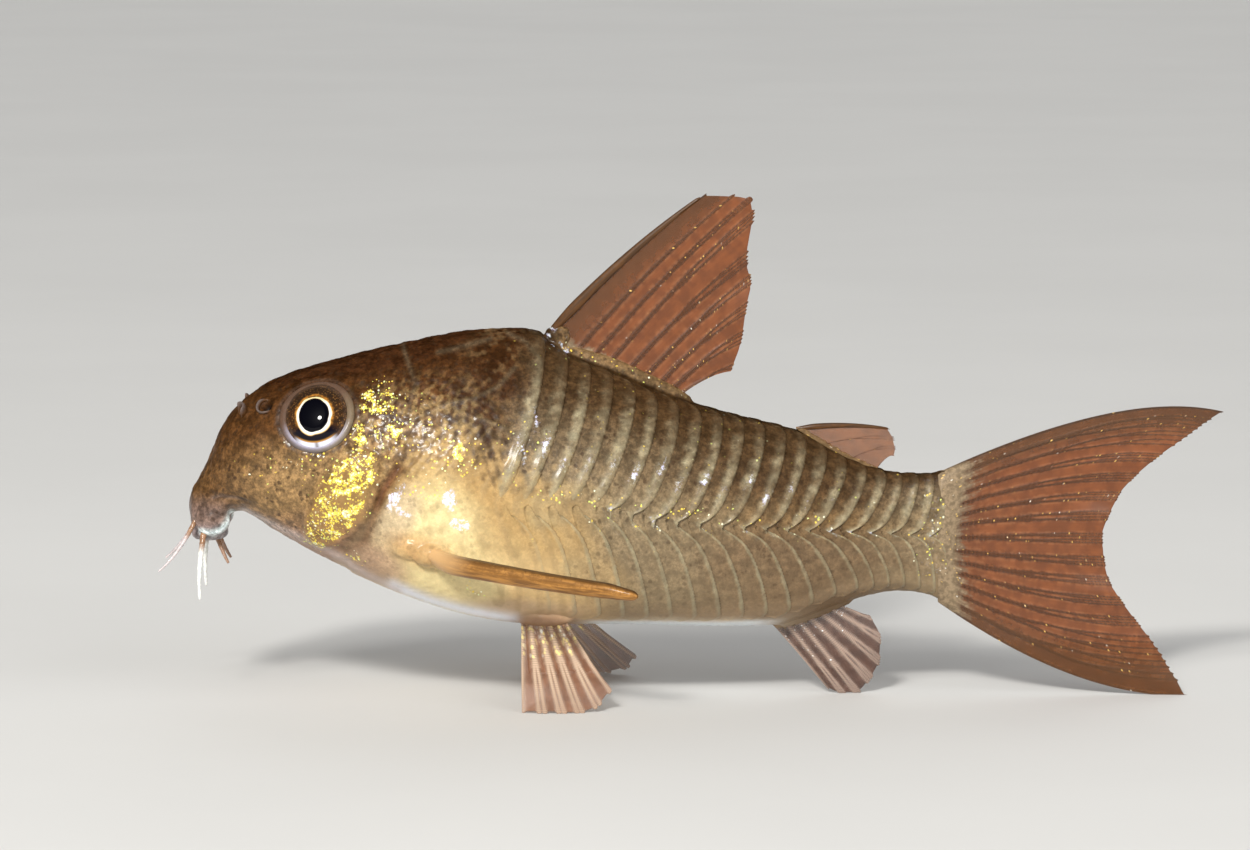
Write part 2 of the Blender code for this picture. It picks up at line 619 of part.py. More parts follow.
def make_tail_fin():
    """Make the forked tail fin as its upper and lower lobes."""
    lobes = (("tail_fin_upper", UPPER_ROOT_HEIGHTS, UPPER_EDGE, UPPER_BOW, 1),
             ("tail_fin_lower", LOWER_ROOT_HEIGHTS, LOWER_EDGE, LOWER_BOW, -1))
    for name, roots, edge, bow, way in lobes:
        count = TAIL_FIN_RAYS
        places = np.linspace(0, 1, len(edge))
        tip_station = smooth(list(zip(places, [p[0] for p in edge])))
        tip_height = smooth(list(zip(places, [p[1] for p in edge])))
        rays = []
        for i in range(count):
            share = i / (count - 1)
            root = (TAIL_FIN_ROOT, 0, roots[0] + (roots[1] - roots[0]) * share)
            tip = (tip_station(share), way * TAIL_FIN_SWAY * (1 - share), tip_height(share))
            bend = (bow[0] * (1 - share), TAIL_BOW_ACROSS, bow[1] * (1 - share) ** TAIL_BOW_FADE)
            rays.append(ray(root, tip, bend, TAIL_BOW_LEAN))
        fin(name, rays, *TAIL_FIN_THICKNESS, FIN_BROWN)


def make_pelvic_fins():
    """Make the paired fins under the belly, spread to the floor. The right one is swept further back."""
    fins = ((-1, "pelvic_fin_left", LEFT_PELVIC_TIPS), (1, "pelvic_fin_right", RIGHT_PELVIC_TIPS))
    for side, name, tips in fins:
        rays = []
        for i, tip in enumerate(tips):
            station = PELVIC_ROOT[0] + (PELVIC_ROOT[1] - PELVIC_ROOT[0]) * i / (PELVIC_RAYS - 1)
            angle = side * PELVIC_ROOT_ANGLE
            root = body_surface(station, angle) + PELVIC_LIFT * outward(station, angle)
            mirror = np.array((1, side, 1))
            rays.append(ray(root, mirror * tip, mirror * PELVIC_BOW, rows=6))
        fin(name, rays, *PELVIC_THICKNESS, FIN_BROWN)


def make_pectoral_fins():
    """Make the paired fins behind the gills, held out level: each is a stout spine and seven rays."""
    for side, name in ((-1, "pectoral_fin_left"), (1, "pectoral_fin_right")):
        rays = []
        for i, tip in enumerate(PECTORAL_TIPS):
            share = i / (len(PECTORAL_TIPS) - 1)
            station, height = np.array(PECTORAL_ROOT[0]) * (1 - share) + np.array(PECTORAL_ROOT[1]) * share
            root = skin_point(station, height, side, PECTORAL_LIFT)[0]
            mirror = np.array((1, side, 1))
            rays.append(ray(root, mirror * tip, mirror * PECTORAL_BOW))
        fin(name, rays, *PECTORAL_THICKNESS, PECTORAL_BROWN)


def lobe_point(way, lift):
    """Return the point above the right mouth corner's lobe, seen that way from its middle."""
    way = np.array(way) / np.linalg.norm(way)
    reach = 1 / np.linalg.norm(way / CORNER_LOBE_RADII)
    return np.array(CORNER_LOBE_PLACE) + way * (reach + lift)


def barbel(name, root, bend, tip, side):
    """Make a tapered feeler from its root to its tip, on side 1 or -1 of the mouth."""
    curve = bpy.data.curves.new(name, "CURVE")
    curve.dimensions = "3D"
    curve.bevel_depth = BARBEL_THICKNESS / 2
    curve.bevel_resolution = 1
    curve.use_fill_caps = True
    spline = curve.splines.new("POLY")
    line = ray(root, tip, bend, rows=8)
    line[:, 1] *= side
    spline.points.add(len(line) - 1)
    for i, (target, place) in enumerate(zip(spline.points, to_metres(line))):
        target.co = (*place, 1)
        target.radius = 1 - BARBEL_TAPER * i / (len(line) - 1)
    obj = bpy.data.objects.new(name, curve)
    bpy.context.scene.collection.objects.link(obj)
    paint(obj, BARBEL_WHITE)


def make_barbels():
    """Make the three pairs of feelers: two at the corners of the mouth and one under the lower lip."""
    for side, tag in ((-1, "_left"), (1, "_right")):
        forward = lobe_point(FORWARD_BARBEL_WAY, BARBEL_LIFT)
        down = lobe_point(DOWN_BARBEL_WAY, BARBEL_LIFT)
        barbel("barbel_rostral" + tag, forward, FORWARD_BARBEL_BOW, FORWARD_BARBEL_TIP, side)
        barbel("barbel_maxillary" + tag, down, DOWN_BARBEL_BOW, DOWN_BARBEL_TIP, side)
        barbel("barbel_chin" + tag, CHIN_BARBEL_ROOT, CHIN_BARBEL_BOW, CHIN_BARBEL_TIP, side)


def clear_scene():
    """Remove the objects that the scene starts with."""
    for obj in list(bpy.data.objects):
        bpy.data.objects.remove(obj)


def main():
    """Build the fish."""
    clear_scene()
    make_head()
    make_torso()
    make_tail()
    make_eyes()
    make_dorsal_fin()
    make_adipose_fin()
    make_anal_fin()
    make_tail_fin()
    make_pelvic_fins()
    make_pectoral_fins()
    make_barbels()


main()
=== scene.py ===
"""The looks of a corydoras catfish that rests on its fins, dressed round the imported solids.

The fish lies along X with its snout towards -X and its left side towards -Y. Places are in
percent of its standard length, as in the solids: a station is the distance behind the snout
tip, and a height is above the floor. Sizes of the studio are in metres.
"""

import logging
import math
from collections.abc import Callable, Sequence
from dataclasses import dataclass, field
from enum import Enum

import bpy
import numpy as np
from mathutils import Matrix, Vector


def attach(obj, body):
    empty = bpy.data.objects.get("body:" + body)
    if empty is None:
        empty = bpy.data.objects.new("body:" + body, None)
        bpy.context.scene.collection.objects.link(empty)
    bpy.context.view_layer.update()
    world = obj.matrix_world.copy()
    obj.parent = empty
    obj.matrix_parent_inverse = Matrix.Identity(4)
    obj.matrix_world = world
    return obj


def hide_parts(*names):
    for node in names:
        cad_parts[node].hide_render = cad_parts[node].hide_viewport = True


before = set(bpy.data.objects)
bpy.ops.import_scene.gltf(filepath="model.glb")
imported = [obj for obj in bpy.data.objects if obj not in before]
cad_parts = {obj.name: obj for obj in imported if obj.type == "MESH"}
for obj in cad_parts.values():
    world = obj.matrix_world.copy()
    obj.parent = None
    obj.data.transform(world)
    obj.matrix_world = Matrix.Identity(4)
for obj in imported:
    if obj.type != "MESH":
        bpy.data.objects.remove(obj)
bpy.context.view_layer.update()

log = logging.getLogger("corydoras")

Array = np.ndarray
Colour = tuple[float, float, float]
Outline = Callable[[Array], Array]
Patch = tuple[float, float, float, float, float, float]

STANDARD_LENGTH = 0.0511
PERCENT = STANDARD_LENGTH / 100
MIDDLE_STATION = 67.0
SEED = 7
BODY = "root"


class Side(Enum):
    """The two sides of the fish, with the sign of Y on each."""

    LEFT = -1
    RIGHT = 1


class Row(Enum):
    """The two rows of plates on each flank."""

    UPPER = "upper"
    LOWER = "lower"


class Slot(Enum):
    """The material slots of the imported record."""

    FLESH = "flesh"
    EYES = "eyes"
    FINS = "fins"
    PECTORAL_FINS = "pectoral_fins"
    BARBELS = "barbels"


# Shared shapes and numbers


def smooth(points: Sequence[tuple[float, float]]) -> Outline:
    """Return a function that follows the points without overshooting them.

    Args:
        points: Places in rising order, each with its value.

    Returns:
        A function from places to values.
    """
    at, value = np.array(points, float).T
    step = np.diff(at)
    slope = np.diff(value) / step
    tangent = np.zeros(len(at))
    tangent[0], tangent[-1] = slope[0], slope[-1]
    before, after = slope[:-1], slope[1:]
    same_way = before * after > 0
    tangent[1:-1][same_way] = 2 * before[same_way] * after[same_way] / (before + after)[same_way]

    def follow(x: Array) -> Array:
        """Return the value at each place."""
        x = np.clip(np.asarray(x, float), at[0], at[-1])
        i = np.clip(np.searchsorted(at, x, side="right") - 1, 0, len(step) - 1)
        t = (x - at[i]) / step[i]
        start = value[i] * (1 + 2 * t) * (1 - t) ** 2 + tangent[i] * step[i] * t * (1 - t) ** 2
        end = value[i + 1] * t**2 * (3 - 2 * t) + tangent[i + 1] * step[i] * t**2 * (t - 1)
        return start + end

    return follow


def ease(x: Array, low: float, high: float) -> Array:
    """Return 0 below low and 1 above high, with a soft rise between them."""
    t = np.clip((np.asarray(x, float) - low) / (high - low), 0, 1)
    return t * t * (3 - 2 * t)


def bell(x: Array, centre: float, width: float) -> Array:
    """Return a bump that is 1 at the centre and fades over the width."""
    return np.exp(-(((np.asarray(x, float) - centre) / width) ** 2))


def blend(first: Array, second: Array | Colour, share: Array) -> Array:
    """Return the first colours turned towards the second by that share."""
    share = np.asarray(share)[..., None]
    return first * (1 - share) + np.asarray(second) * share


def oval(station: Array, height: Array, patch: Patch) -> Array:
    """Return how far inside a tilted oval each place is.

    Args:
        station: Stations of the places.
        height: Heights of the places.
        patch: Station and height of the middle, the two radii, the tilt in degrees and
            the softness of the edge.

    Returns:
        1 well inside and 0 well outside.
    """
    middle, level, long_radius, short_radius, tilt, softness = patch
    turn = math.radians(tilt)
    along = (station - middle) * math.cos(turn) + (height - level) * math.sin(turn)
    across = (height - level) * math.cos(turn) - (station - middle) * math.sin(turn)
    reach = np.sqrt((along / long_radius) ** 2 + (across / short_radius) ** 2)
    return 1 - ease(reach, 1 - softness, 1 + softness)


def near_line(station: Array, height: Array, line: Sequence[tuple[float, float]],
              width: float | Array) -> Array:
    """Return 1 on a line through the points, fading to 0 over the width."""
    nearest = np.full(np.shape(station), 1e9)
    for (x0, z0), (x1, z1) in zip(line, line[1:]):
        run, rise = x1 - x0, z1 - z0
        share = np.clip(((station - x0) * run + (height - z0) * rise) / (run**2 + rise**2), 0, 1)
        gap = np.hypot(station - x0 - share * run, height - z0 - share * rise)
        nearest = np.minimum(nearest, gap)
    return np.exp(-((nearest / width) ** 2))


def ripple(points: Array, size: float, seed: int, waves: int = 14) -> Array:
    """Return soft random relief from -1 to 1, made of waves in seeded directions.

    Args:
        points: Places, in percent.
        size: Width of a typical bump, in percent.
        seed: Picks the waves.
        waves: Number of waves.

    Returns:
        One value for each place.
    """
    draw = np.random.default_rng(SEED + seed)
    total = np.zeros(points.shape[:-1])
    for _ in range(waves):
        way = draw.normal(size=3)
        way *= draw.uniform(0.7, 1.5) * math.pi / (size * np.linalg.norm(way))
        total += np.sin(points @ way + draw.uniform(0, 2 * math.pi))
    return np.clip(total / math.sqrt(waves), -1.6, 1.6) / 1.6


def to_metres(points: Array) -> Array:
    """Return points given in percent as the frame's own, in metres."""
    return (np.asarray(points, float) - (MIDDLE_STATION, 0, 0)) * PERCENT


def unit(vectors: Array) -> Array:
    """Return the vectors at length 1."""
    return vectors / np.maximum(np.linalg.norm(vectors, axis=-1, keepdims=True), 1e-12)


def axes_of(way: Array) -> Array:
    """Return three axes as columns: along the body, up the surface, and out of it."""
    along = unit(np.array([1.0, 0, 0]) - way[0] * way)
    return np.stack([along, np.cross(way, along), way], axis=1)


def bend(root: Array, handle: Array, tip: Array, share: Array) -> Array:
    """Return points at those shares of a line from root to tip that leans to the handle."""
    t = np.asarray(share)[..., None]
    return root * (1 - t) ** 2 + 2 * handle * t * (1 - t) + tip * t**2


@dataclass
class MeshPile:
    """Grids and tubes that together become one mesh object.

    Every grid brings its own values for the attributes and its own box on the OFBake map.
    """

    points: list[Array] = field(default_factory=list)
    corners: list[Array] = field(default_factory=list)
    sizes: list[Array] = field(default_factory=list)
    maps: list[Array] = field(default_factory=list)
    slots: list[Array] = field(default_factory=list)
    values: dict[str, list[Array]] = field(default_factory=dict)
    count: int = 0

    def add_faces(self, faces: Array, corner_maps: Array, slot: int) -> None:
        """Keep faces whose corners count from the pile's first point."""
        self.corners.append(faces.reshape(-1))
        self.sizes.append(np.full(len(faces), faces.shape[1]))
        self.maps.append(corner_maps.reshape(-1, 2))
        self.slots.append(np.full(len(faces), slot))

    def add_points(self, points: Array, values: dict[str, Array]) -> int:
        """Keep points and their values, and return the number of the first."""
        first = self.count
        self.points.append(points.reshape(-1, 3))
        self.count += len(self.points[-1])
        for name, value in values.items():
            wide = np.ndim(value) > points.ndim - 1
            self.values.setdefault(name, []).append(value.reshape(-1, 3) if wide else value.reshape(-1))
        return first

    def add_grid(self, grid: Array, values: dict[str, Array], area: Sequence[float] = (0, 0, 1, 1),
                 wrap: bool = False, caps: bool = False, slot: int = 0, corner_maps: Array | None = None) -> None:
        """Keep a grid of rows and columns as quads.

        Args:
            grid: Points as rows by columns by 3.
            values: One grid of numbers or colours for each attribute.
            area: Lowest and highest corner of the grid's place on the OFBake map.
            wrap: Joins each row's last column to its first.
            caps: Closes the first and last row of a wrapped grid by rungs across them.
            slot: Number of the material.
            corner_maps: The grid's own places on the OFBake map, in place of the area.
        """
        rows, columns = grid.shape[:2]
        first = self.add_points(grid, values)
        across = columns if wrap else columns - 1
        i, j = np.meshgrid(np.arange(rows - 1), np.arange(across), indexing="ij")
        after = (j + 1) % columns
        faces = np.stack([i * columns + j, i * columns + after, (i + 1) * columns + after,
                          (i + 1) * columns + j], axis=-1).reshape(-1, 4)
        if corner_maps is None:
            u = area[0] + (area[2] - area[0]) * np.stack([i, i, i + 1, i + 1], axis=-1) / (rows - 1)
            v = area[1] + (area[3] - area[1]) * np.stack([j, j + 1, j + 1, j], axis=-1) / across
            places = np.stack([u, v], axis=-1).reshape(-1, 4, 2)
        else:
            places = corner_maps.reshape(-1, 2)[faces]
        self.add_faces(faces + first, places, slot)
        if not caps:
            return
        for row in (0, rows - 1):
            k = np.arange(columns // 2 - 1)
            rungs = np.stack([k, k + 1, columns - 2 - k, columns - 1 - k], axis=-1)
            if row:
                rungs = rungs[:, ::-1]
            if corner_maps is None:
                places = np.broadcast_to(np.array([area[0], area[1]]), (*rungs.shape, 2))
            else:
                places = corner_maps.reshape(-1, 2)[rungs + row * columns]
            self.add_faces(rungs + row * columns + first, places, slot)

    def build(self, name: str, materials: Sequence[bpy.types.Material]) -> bpy.types.Object:
        """Make the object, with smooth faces and its attributes.

        Args:
            name: Name of the piece.
            materials: Materials in the order of their slots.

        Returns:
            The new object, in metres and in the frame's place.
        """
        corners = np.concatenate(self.corners).astype(np.int32)
        sizes = np.concatenate(self.sizes).astype(np.int32)
        points = to_metres(np.concatenate(self.points)).astype(np.float32)
        mesh = bpy.data.meshes.new(name)
        mesh.vertices.add(len(points))
        mesh.vertices.foreach_set("co", points.ravel())
        mesh.loops.add(len(corners))
        mesh.loops.foreach_set("vertex_index", corners)
        mesh.polygons.add(len(sizes))
        starts = np.concatenate([[0], np.cumsum(sizes)[:-1]]).astype(np.int32)
        mesh.polygons.foreach_set("loop_start", starts)
        mesh.polygons.foreach_set("loop_total", sizes)
        mesh.polygons.foreach_set("material_index", np.concatenate(self.slots).astype(np.int32))
        mesh.update(calc_edges=True)
        mesh.uv_layers.new(name="OFBake").uv.foreach_set(
            "vector", np.concatenate(self.maps).astype(np.float32).ravel())
        for label, parts in self.values.items():
            value = np.concatenate(parts).astype(np.float32)
            if value.ndim == 2:
                made = mesh.attributes.new(label, "FLOAT_COLOR", "POINT")
                full = np.concatenate([value, np.ones((len(value), 1), np.float32)], axis=1)
                made.data.foreach_set("color", full.ravel())
            else:
                made = mesh.attributes.new(label, "FLOAT", "POINT")
                made.data.foreach_set("value", value)
        mesh.validate()
        mesh.shade_smooth()
        for material in materials:
            mesh.materials.append(material)
        obj = bpy.data.objects.new(name, mesh)
        bpy.context.scene.collection.objects.link(obj)
        return obj


def dress(obj: bpy.types.Object, nodes: Sequence[str] = ()) -> None:
    """Let a piece ride on the body and stand for those nodes of the solids."""
    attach(obj, BODY)
    if nodes:
        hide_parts(*nodes)
    log.info("%s: %d faces", obj.name, len(obj.data.polygons))


# The body's shape, as in the solids


@dataclass
class BodyShape:
    """The outlines of head, trunk and tail, which the solids share."""

    snout_cap: float = 0.9
    snout_height: float = 25.0
    tail_end: float = 100.6
    back_points: tuple = (
        (0.9, 28.3), (2.9, 32.3), (4.3, 35.8), (6.9, 39.1), (11.6, 42.3), (18.9, 44.7), (28.2, 47.0),
        (38.8, 48.9), (44.1, 49.1), (46.3, 48.7), (48.6, 46.9), (51.5, 45.3), (56.1, 43.6), (61.4, 41.3),
        (66.8, 39.2), (72.1, 37.6), (77.4, 36.3), (81.4, 35.1), (84.0, 33.6), (87.4, 31.8), (90.7, 30.5),
        (94.7, 29.6), (98.0, 29.55), (100.0, 29.85), (101.5, 30.4))
    belly_points: tuple = (
        (0.9, 21.8), (2.9, 21.4), (4.3, 22.2), (5.9, 24.6), (7.0, 24.7), (11.6, 22.1), (18.9, 18.2),
        (28.2, 14.1), (38.8, 10.7), (44.1, 9.9), (61.4, 9.6), (72.1, 9.2), (77.9, 9.3), (81.4, 10.2),
        (87.4, 12.4), (94.7, 13.8), (98.0, 13.4), (100.0, 12.6), (101.5, 11.8))
    lateral_points: tuple = (
        (0.9, 24.7), (3.6, 25.9), (6.5, 29.5), (10.0, 30.2), (14.9, 29.2), (22.9, 27.6), (28.2, 27.0),
        (52.8, 26.9), (63.0, 25.0), (79.4, 23.2), (94.7, 22.0), (101.5, 21.4))
    width_points: tuple = (
        (0.9, 3.5), (2.0, 4.4), (3.6, 5.5), (5.6, 7.0), (8.9, 8.8), (14.9, 10.9), (22.9, 12.7), (33.5, 14.1),
        (38.8, 14.4), (44.1, 14.2), (51.5, 13.7), (61.4, 12.2), (72.1, 9.9), (81.4, 7.2), (88.0, 5.1),
        (94.7, 3.4), (100.6, 2.1), (101.5, 1.3), (102.3, 0.5))
    roof_points: tuple = ((0.0, 2.2), (18.0, 2.1), (35.0, 1.8), (46.0, 1.6), (70.0, 1.7), (101.5, 2.0))
    keel_points: tuple = ((0.0, 2.1), (12.0, 2.3), (30.0, 2.8), (55.0, 2.8), (78.0, 2.2), (101.5, 2.0))
    upper_lean_points: tuple = ((0, 0), (24.9, 12.6), (38.6, 5.6), (70, 4.2), (90, 3.2), (98.2, 1.4), (103, 0))
    lower_lean_points: tuple = ((0, 0), (24.9, -5.4), (38.6, 3.2), (60, 3.6), (84, 5.2), (98.2, 1.6), (103, 0))

    def __post_init__(self) -> None:
        """Turn the tables into functions."""
        self.back = smooth(self.back_points)
        self.belly = smooth(self.belly_points)
        self.lateral = smooth(self.lateral_points)
        self.half_width = smooth(self.width_points)
        self.roof_power = smooth(self.roof_points)
        self.keel_power = smooth(self.keel_points)

    def section(self, station: Array) -> tuple[Array, Array, Array, Array]:
        """Return the heights of back, flank and belly and the half width there."""
        station = np.asarray(station, float)
        ahead = np.clip(1 - station / self.snout_cap, 0, 1)
        fullness = np.sqrt(1 - ahead**2)
        top, flank, bottom = [self.snout_height + (outline(station) - self.snout_height) * fullness
                              for outline in (self.back, self.lateral, self.belly)]
        return top, flank, bottom, self.half_width(station) * fullness

    def surface(self, station: Array, angle: Array) -> Array:
        """Return points on the body.

        Args:
            station: Stations of the points.
            angle: 0 on the back and pi on the belly, negative on the left.

        Returns:
            Points in percent.
        """
        station, angle = np.broadcast_arrays(np.asarray(station, float), np.asarray(angle, float))
        top, flank, bottom, half = self.section(station)
        up, out = np.cos(angle), np.sin(angle)
        power = np.where(up >= 0, self.roof_power(station), self.keel_power(station))
        reach = np.where(up >= 0, top - flank, flank - bottom)
        across = half * np.sign(out) * np.abs(out) ** (2 / power)
        height = flank + reach * np.sign(up) * np.abs(up) ** (2 / power)
        return np.stack([station, across, height], axis=-1)

    def outward(self, station: Array, angle: Array) -> Array:
        """Return the unit vectors that point out of the body there."""
        along = self.surface(station + 0.1, angle) - self.surface(station - 0.1, angle)
        around = self.surface(station, angle + 0.02) - self.surface(station, angle - 0.02)
        return unit(np.cross(along, around))

    def angle_at(self, station: Array, height: Array) -> Array:
        """Return the angle at which the right flank has that height."""
        top, flank, bottom, _ = self.section(station)
        above = np.clip((height - flank) / (top - flank), 0, 1) ** (self.roof_power(station) / 2)
        below = np.clip((flank - height) / (flank - bottom), 0, 1) ** (self.keel_power(station) / 2)
        return np.arccos(np.where(height >= flank, above, -below))

    def skin_point(self, station: float, height: float, side: Side, lift: float = 0.0) -> tuple[Array, Array]:
        """Return a point on that side's flank, lifted by that much, and the way out of it."""
        angle = side.value * self.angle_at(station, height)
        way = self.outward(station, angle)
        return self.surface(station, angle) + lift * way, way

    def leans(self, flank: Array) -> tuple[Array, Array]:
        """Return how far a ring leans back at the back and at the belly."""
        return (np.interp(flank, *np.array(self.upper_lean_points, float).T),
                np.interp(flank, *np.array(self.lower_lean_points, float).T))

    def swept(self, flank: Array, angle: Array) -> Array:
        """Return the station of a ring that crosses the lateral line at that station."""
        up = np.cos(angle)
        upper, lower = self.leans(flank)
        roof = np.sin(np.clip(up, 0, 1) ** 1.2 * math.pi / 2)
        keel = np.sin(np.clip(-up, 0, 1) ** 0.75 * math.pi / 2)
        return flank + upper * roof + lower * keel

    def angles_of(self, points: Array) -> Array:
        """Return the angle from 0 on the back to pi on the belly at each point near the body."""
        station = np.clip(points[..., 0], 0.05, 102)
        top, flank, bottom, half = self.section(station)
        rise = points[..., 2] - flank
        above = rise >= 0
        power = np.where(above, self.roof_power(station), self.keel_power(station))
        reach = np.where(above, top - flank, flank - bottom)
        up = np.sign(rise) * (np.abs(rise) / reach) ** (power / 2)
        out = (np.abs(points[..., 1]) / half) ** (power / 2)
        return np.arctan2(out, up)

    def flank_of(self, station: Array, angle: Array) -> Array:
        """Return where the ring through each place crosses the lateral line."""
        flank = np.array(station, float)
        for _ in range(24):
            flank += 0.6 * (station - self.swept(flank, angle))
        return flank


# Finishes


@dataclass(frozen=True)
class Palette:
    """The colours of the fish, as linear light."""

    dark_back: Colour = (0.038, 0.019, 0.006)
    brown: Colour = (0.086, 0.045, 0.017)
    tan: Colour = (0.198, 0.118, 0.050)
    rosy_tan: Colour = (0.188, 0.120, 0.063)
    olive_tan: Colour = (0.262, 0.192, 0.108)
    low_tan: Colour = (0.340, 0.230, 0.128)
    cream: Colour = (0.790, 0.650, 0.335)
    peach: Colour = (0.610, 0.415, 0.192)
    pale_belly: Colour = (0.760, 0.620, 0.450)
    honey: Colour = (0.520, 0.330, 0.128)
    white: Colour = (0.850, 0.860, 0.820)
    snout: Colour = (0.094, 0.038, 0.010)
    cheek: Colour = (0.300, 0.180, 0.074)
    throat: Colour = (0.330, 0.180, 0.100)
    nape: Colour = (0.048, 0.016, 0.003)
    plate_edge: Colour = (0.362, 0.310, 0.192)
    lavender: Colour = (0.740, 0.730, 0.980)
    slit: Colour = (0.150, 0.058, 0.024)
    gill_gold: Colour = (0.290, 0.165, 0.050)
    rim: Colour = (0.150, 0.120, 0.110)


PALETTE = Palette()


@dataclass
class Nodes:
    """The nodes of one material, written one line each."""

    name: str

    def __post_init__(self) -> None:
        """Start the material with its shader."""
        self.material = bpy.data.materials.new(self.name)
        self.material.use_nodes = True
        self.tree = self.material.node_tree
        self.shader = self.tree.nodes["Principled BSDF"]

    def add(self, kind: str, inputs: dict | None = None, **settings: object) -> bpy.types.Node:
        """Add a node.

        Args:
            kind: Blender's name of the node without ShaderNode.
            inputs: A value or another node's socket for each named or numbered input.
            settings: The node's own options.

        Returns:
            The node.
        """
        node = self.tree.nodes.new("ShaderNode" + kind)
        for label, setting in settings.items():
            setattr(node, label, setting)
        self.feed(node, inputs or {})
        return node

    def feed(self, node: bpy.types.Node, inputs: dict) -> None:
        """Set or link the node's inputs."""
        for label, value in inputs.items():
            if isinstance(value, bpy.types.NodeSocket):
                self.tree.links.new(value, node.inputs[label])
            else:
                node.inputs[label].default_value = value

    def attribute(self, label: str, colour: bool = False) -> bpy.types.NodeSocket:
        """Return the mesh's own value or colour of that name."""
        return self.add("Attribute", attribute_name=label).outputs["Color" if colour else "Fac"]

    def math(self, operation: str, *values: object, clamp: bool = False) -> bpy.types.NodeSocket:
        """Return the result of one sum on numbers or sockets."""
        return self.add("Math", dict(enumerate(values)), operation=operation, use_clamp=clamp).outputs[0]

    def ramp(self, value: object, low: float, high: float, start: float = 0.0,
             end: float = 1.0) -> bpy.types.NodeSocket:
        """Return the value spread softly from start at low to end at high."""
        inputs = {"Value": value, "From Min": low, "From Max": high, "To Min": start, "To Max": end}
        return self.add("MapRange", inputs, interpolation_type="SMOOTHSTEP").outputs[0]

    def mix(self, share: object, first: object, second: object, how: str = "MIX") -> bpy.types.NodeSocket:
        """Return one colour mixed into another."""
        first = (*first, 1) if isinstance(first, tuple) else first
        second = (*second, 1) if isinstance(second, tuple) else second
        return self.add("Mix", {0: share, 6: first, 7: second}, data_type="RGBA", blend_type=how).outputs[2]

    def place(self) -> bpy.types.NodeSocket:
        """Return the surface's place in the object."""
        return self.add("TexCoord").outputs["Object"]

    def noise(self, per_mm: float, detail: float = 3, roughness: float = 0.55) -> bpy.types.NodeSocket:
        """Return noise with that many lumps in a millimetre."""
        inputs = {"Vector": self.place(), "Scale": per_mm * 1000, "Detail": detail, "Roughness": roughness}
        return self.add("TexNoise", inputs).outputs["Fac"]

    def cells(self, per_mm: float) -> tuple[bpy.types.NodeSocket, bpy.types.NodeSocket]:
        """Return the distance from cells' middles and a random colour for each cell."""
        shift = self.add("TexNoise", {"Vector": self.place(), "Scale": per_mm * 1300, "Detail": 1.0})
        shift = self.add("VectorMath", {0: shift.outputs["Color"], 1: (0.00055 / per_mm,) * 3},
                         operation="MULTIPLY").outputs[0]
        place = self.add("VectorMath", {0: self.place(), 1: shift}, operation="ADD").outputs[0]
        node = self.add("TexVoronoi", {"Vector": place, "Scale": per_mm * 1000})
        return node.outputs["Distance"], node.outputs["Color"]

    def bump(self, height: object, strength: float, depth: float) -> bpy.types.NodeSocket:
        """Return normals roughened by a height, with its depth in metres."""
        return self.add("Bump", {"Height": height, "Strength": strength, "Distance": depth}).outputs[0]

    def finish(self, inputs: dict) -> bpy.types.Material:
        """Set the shader's inputs and return the material."""
        self.feed(self.shader, inputs)
        return self.material


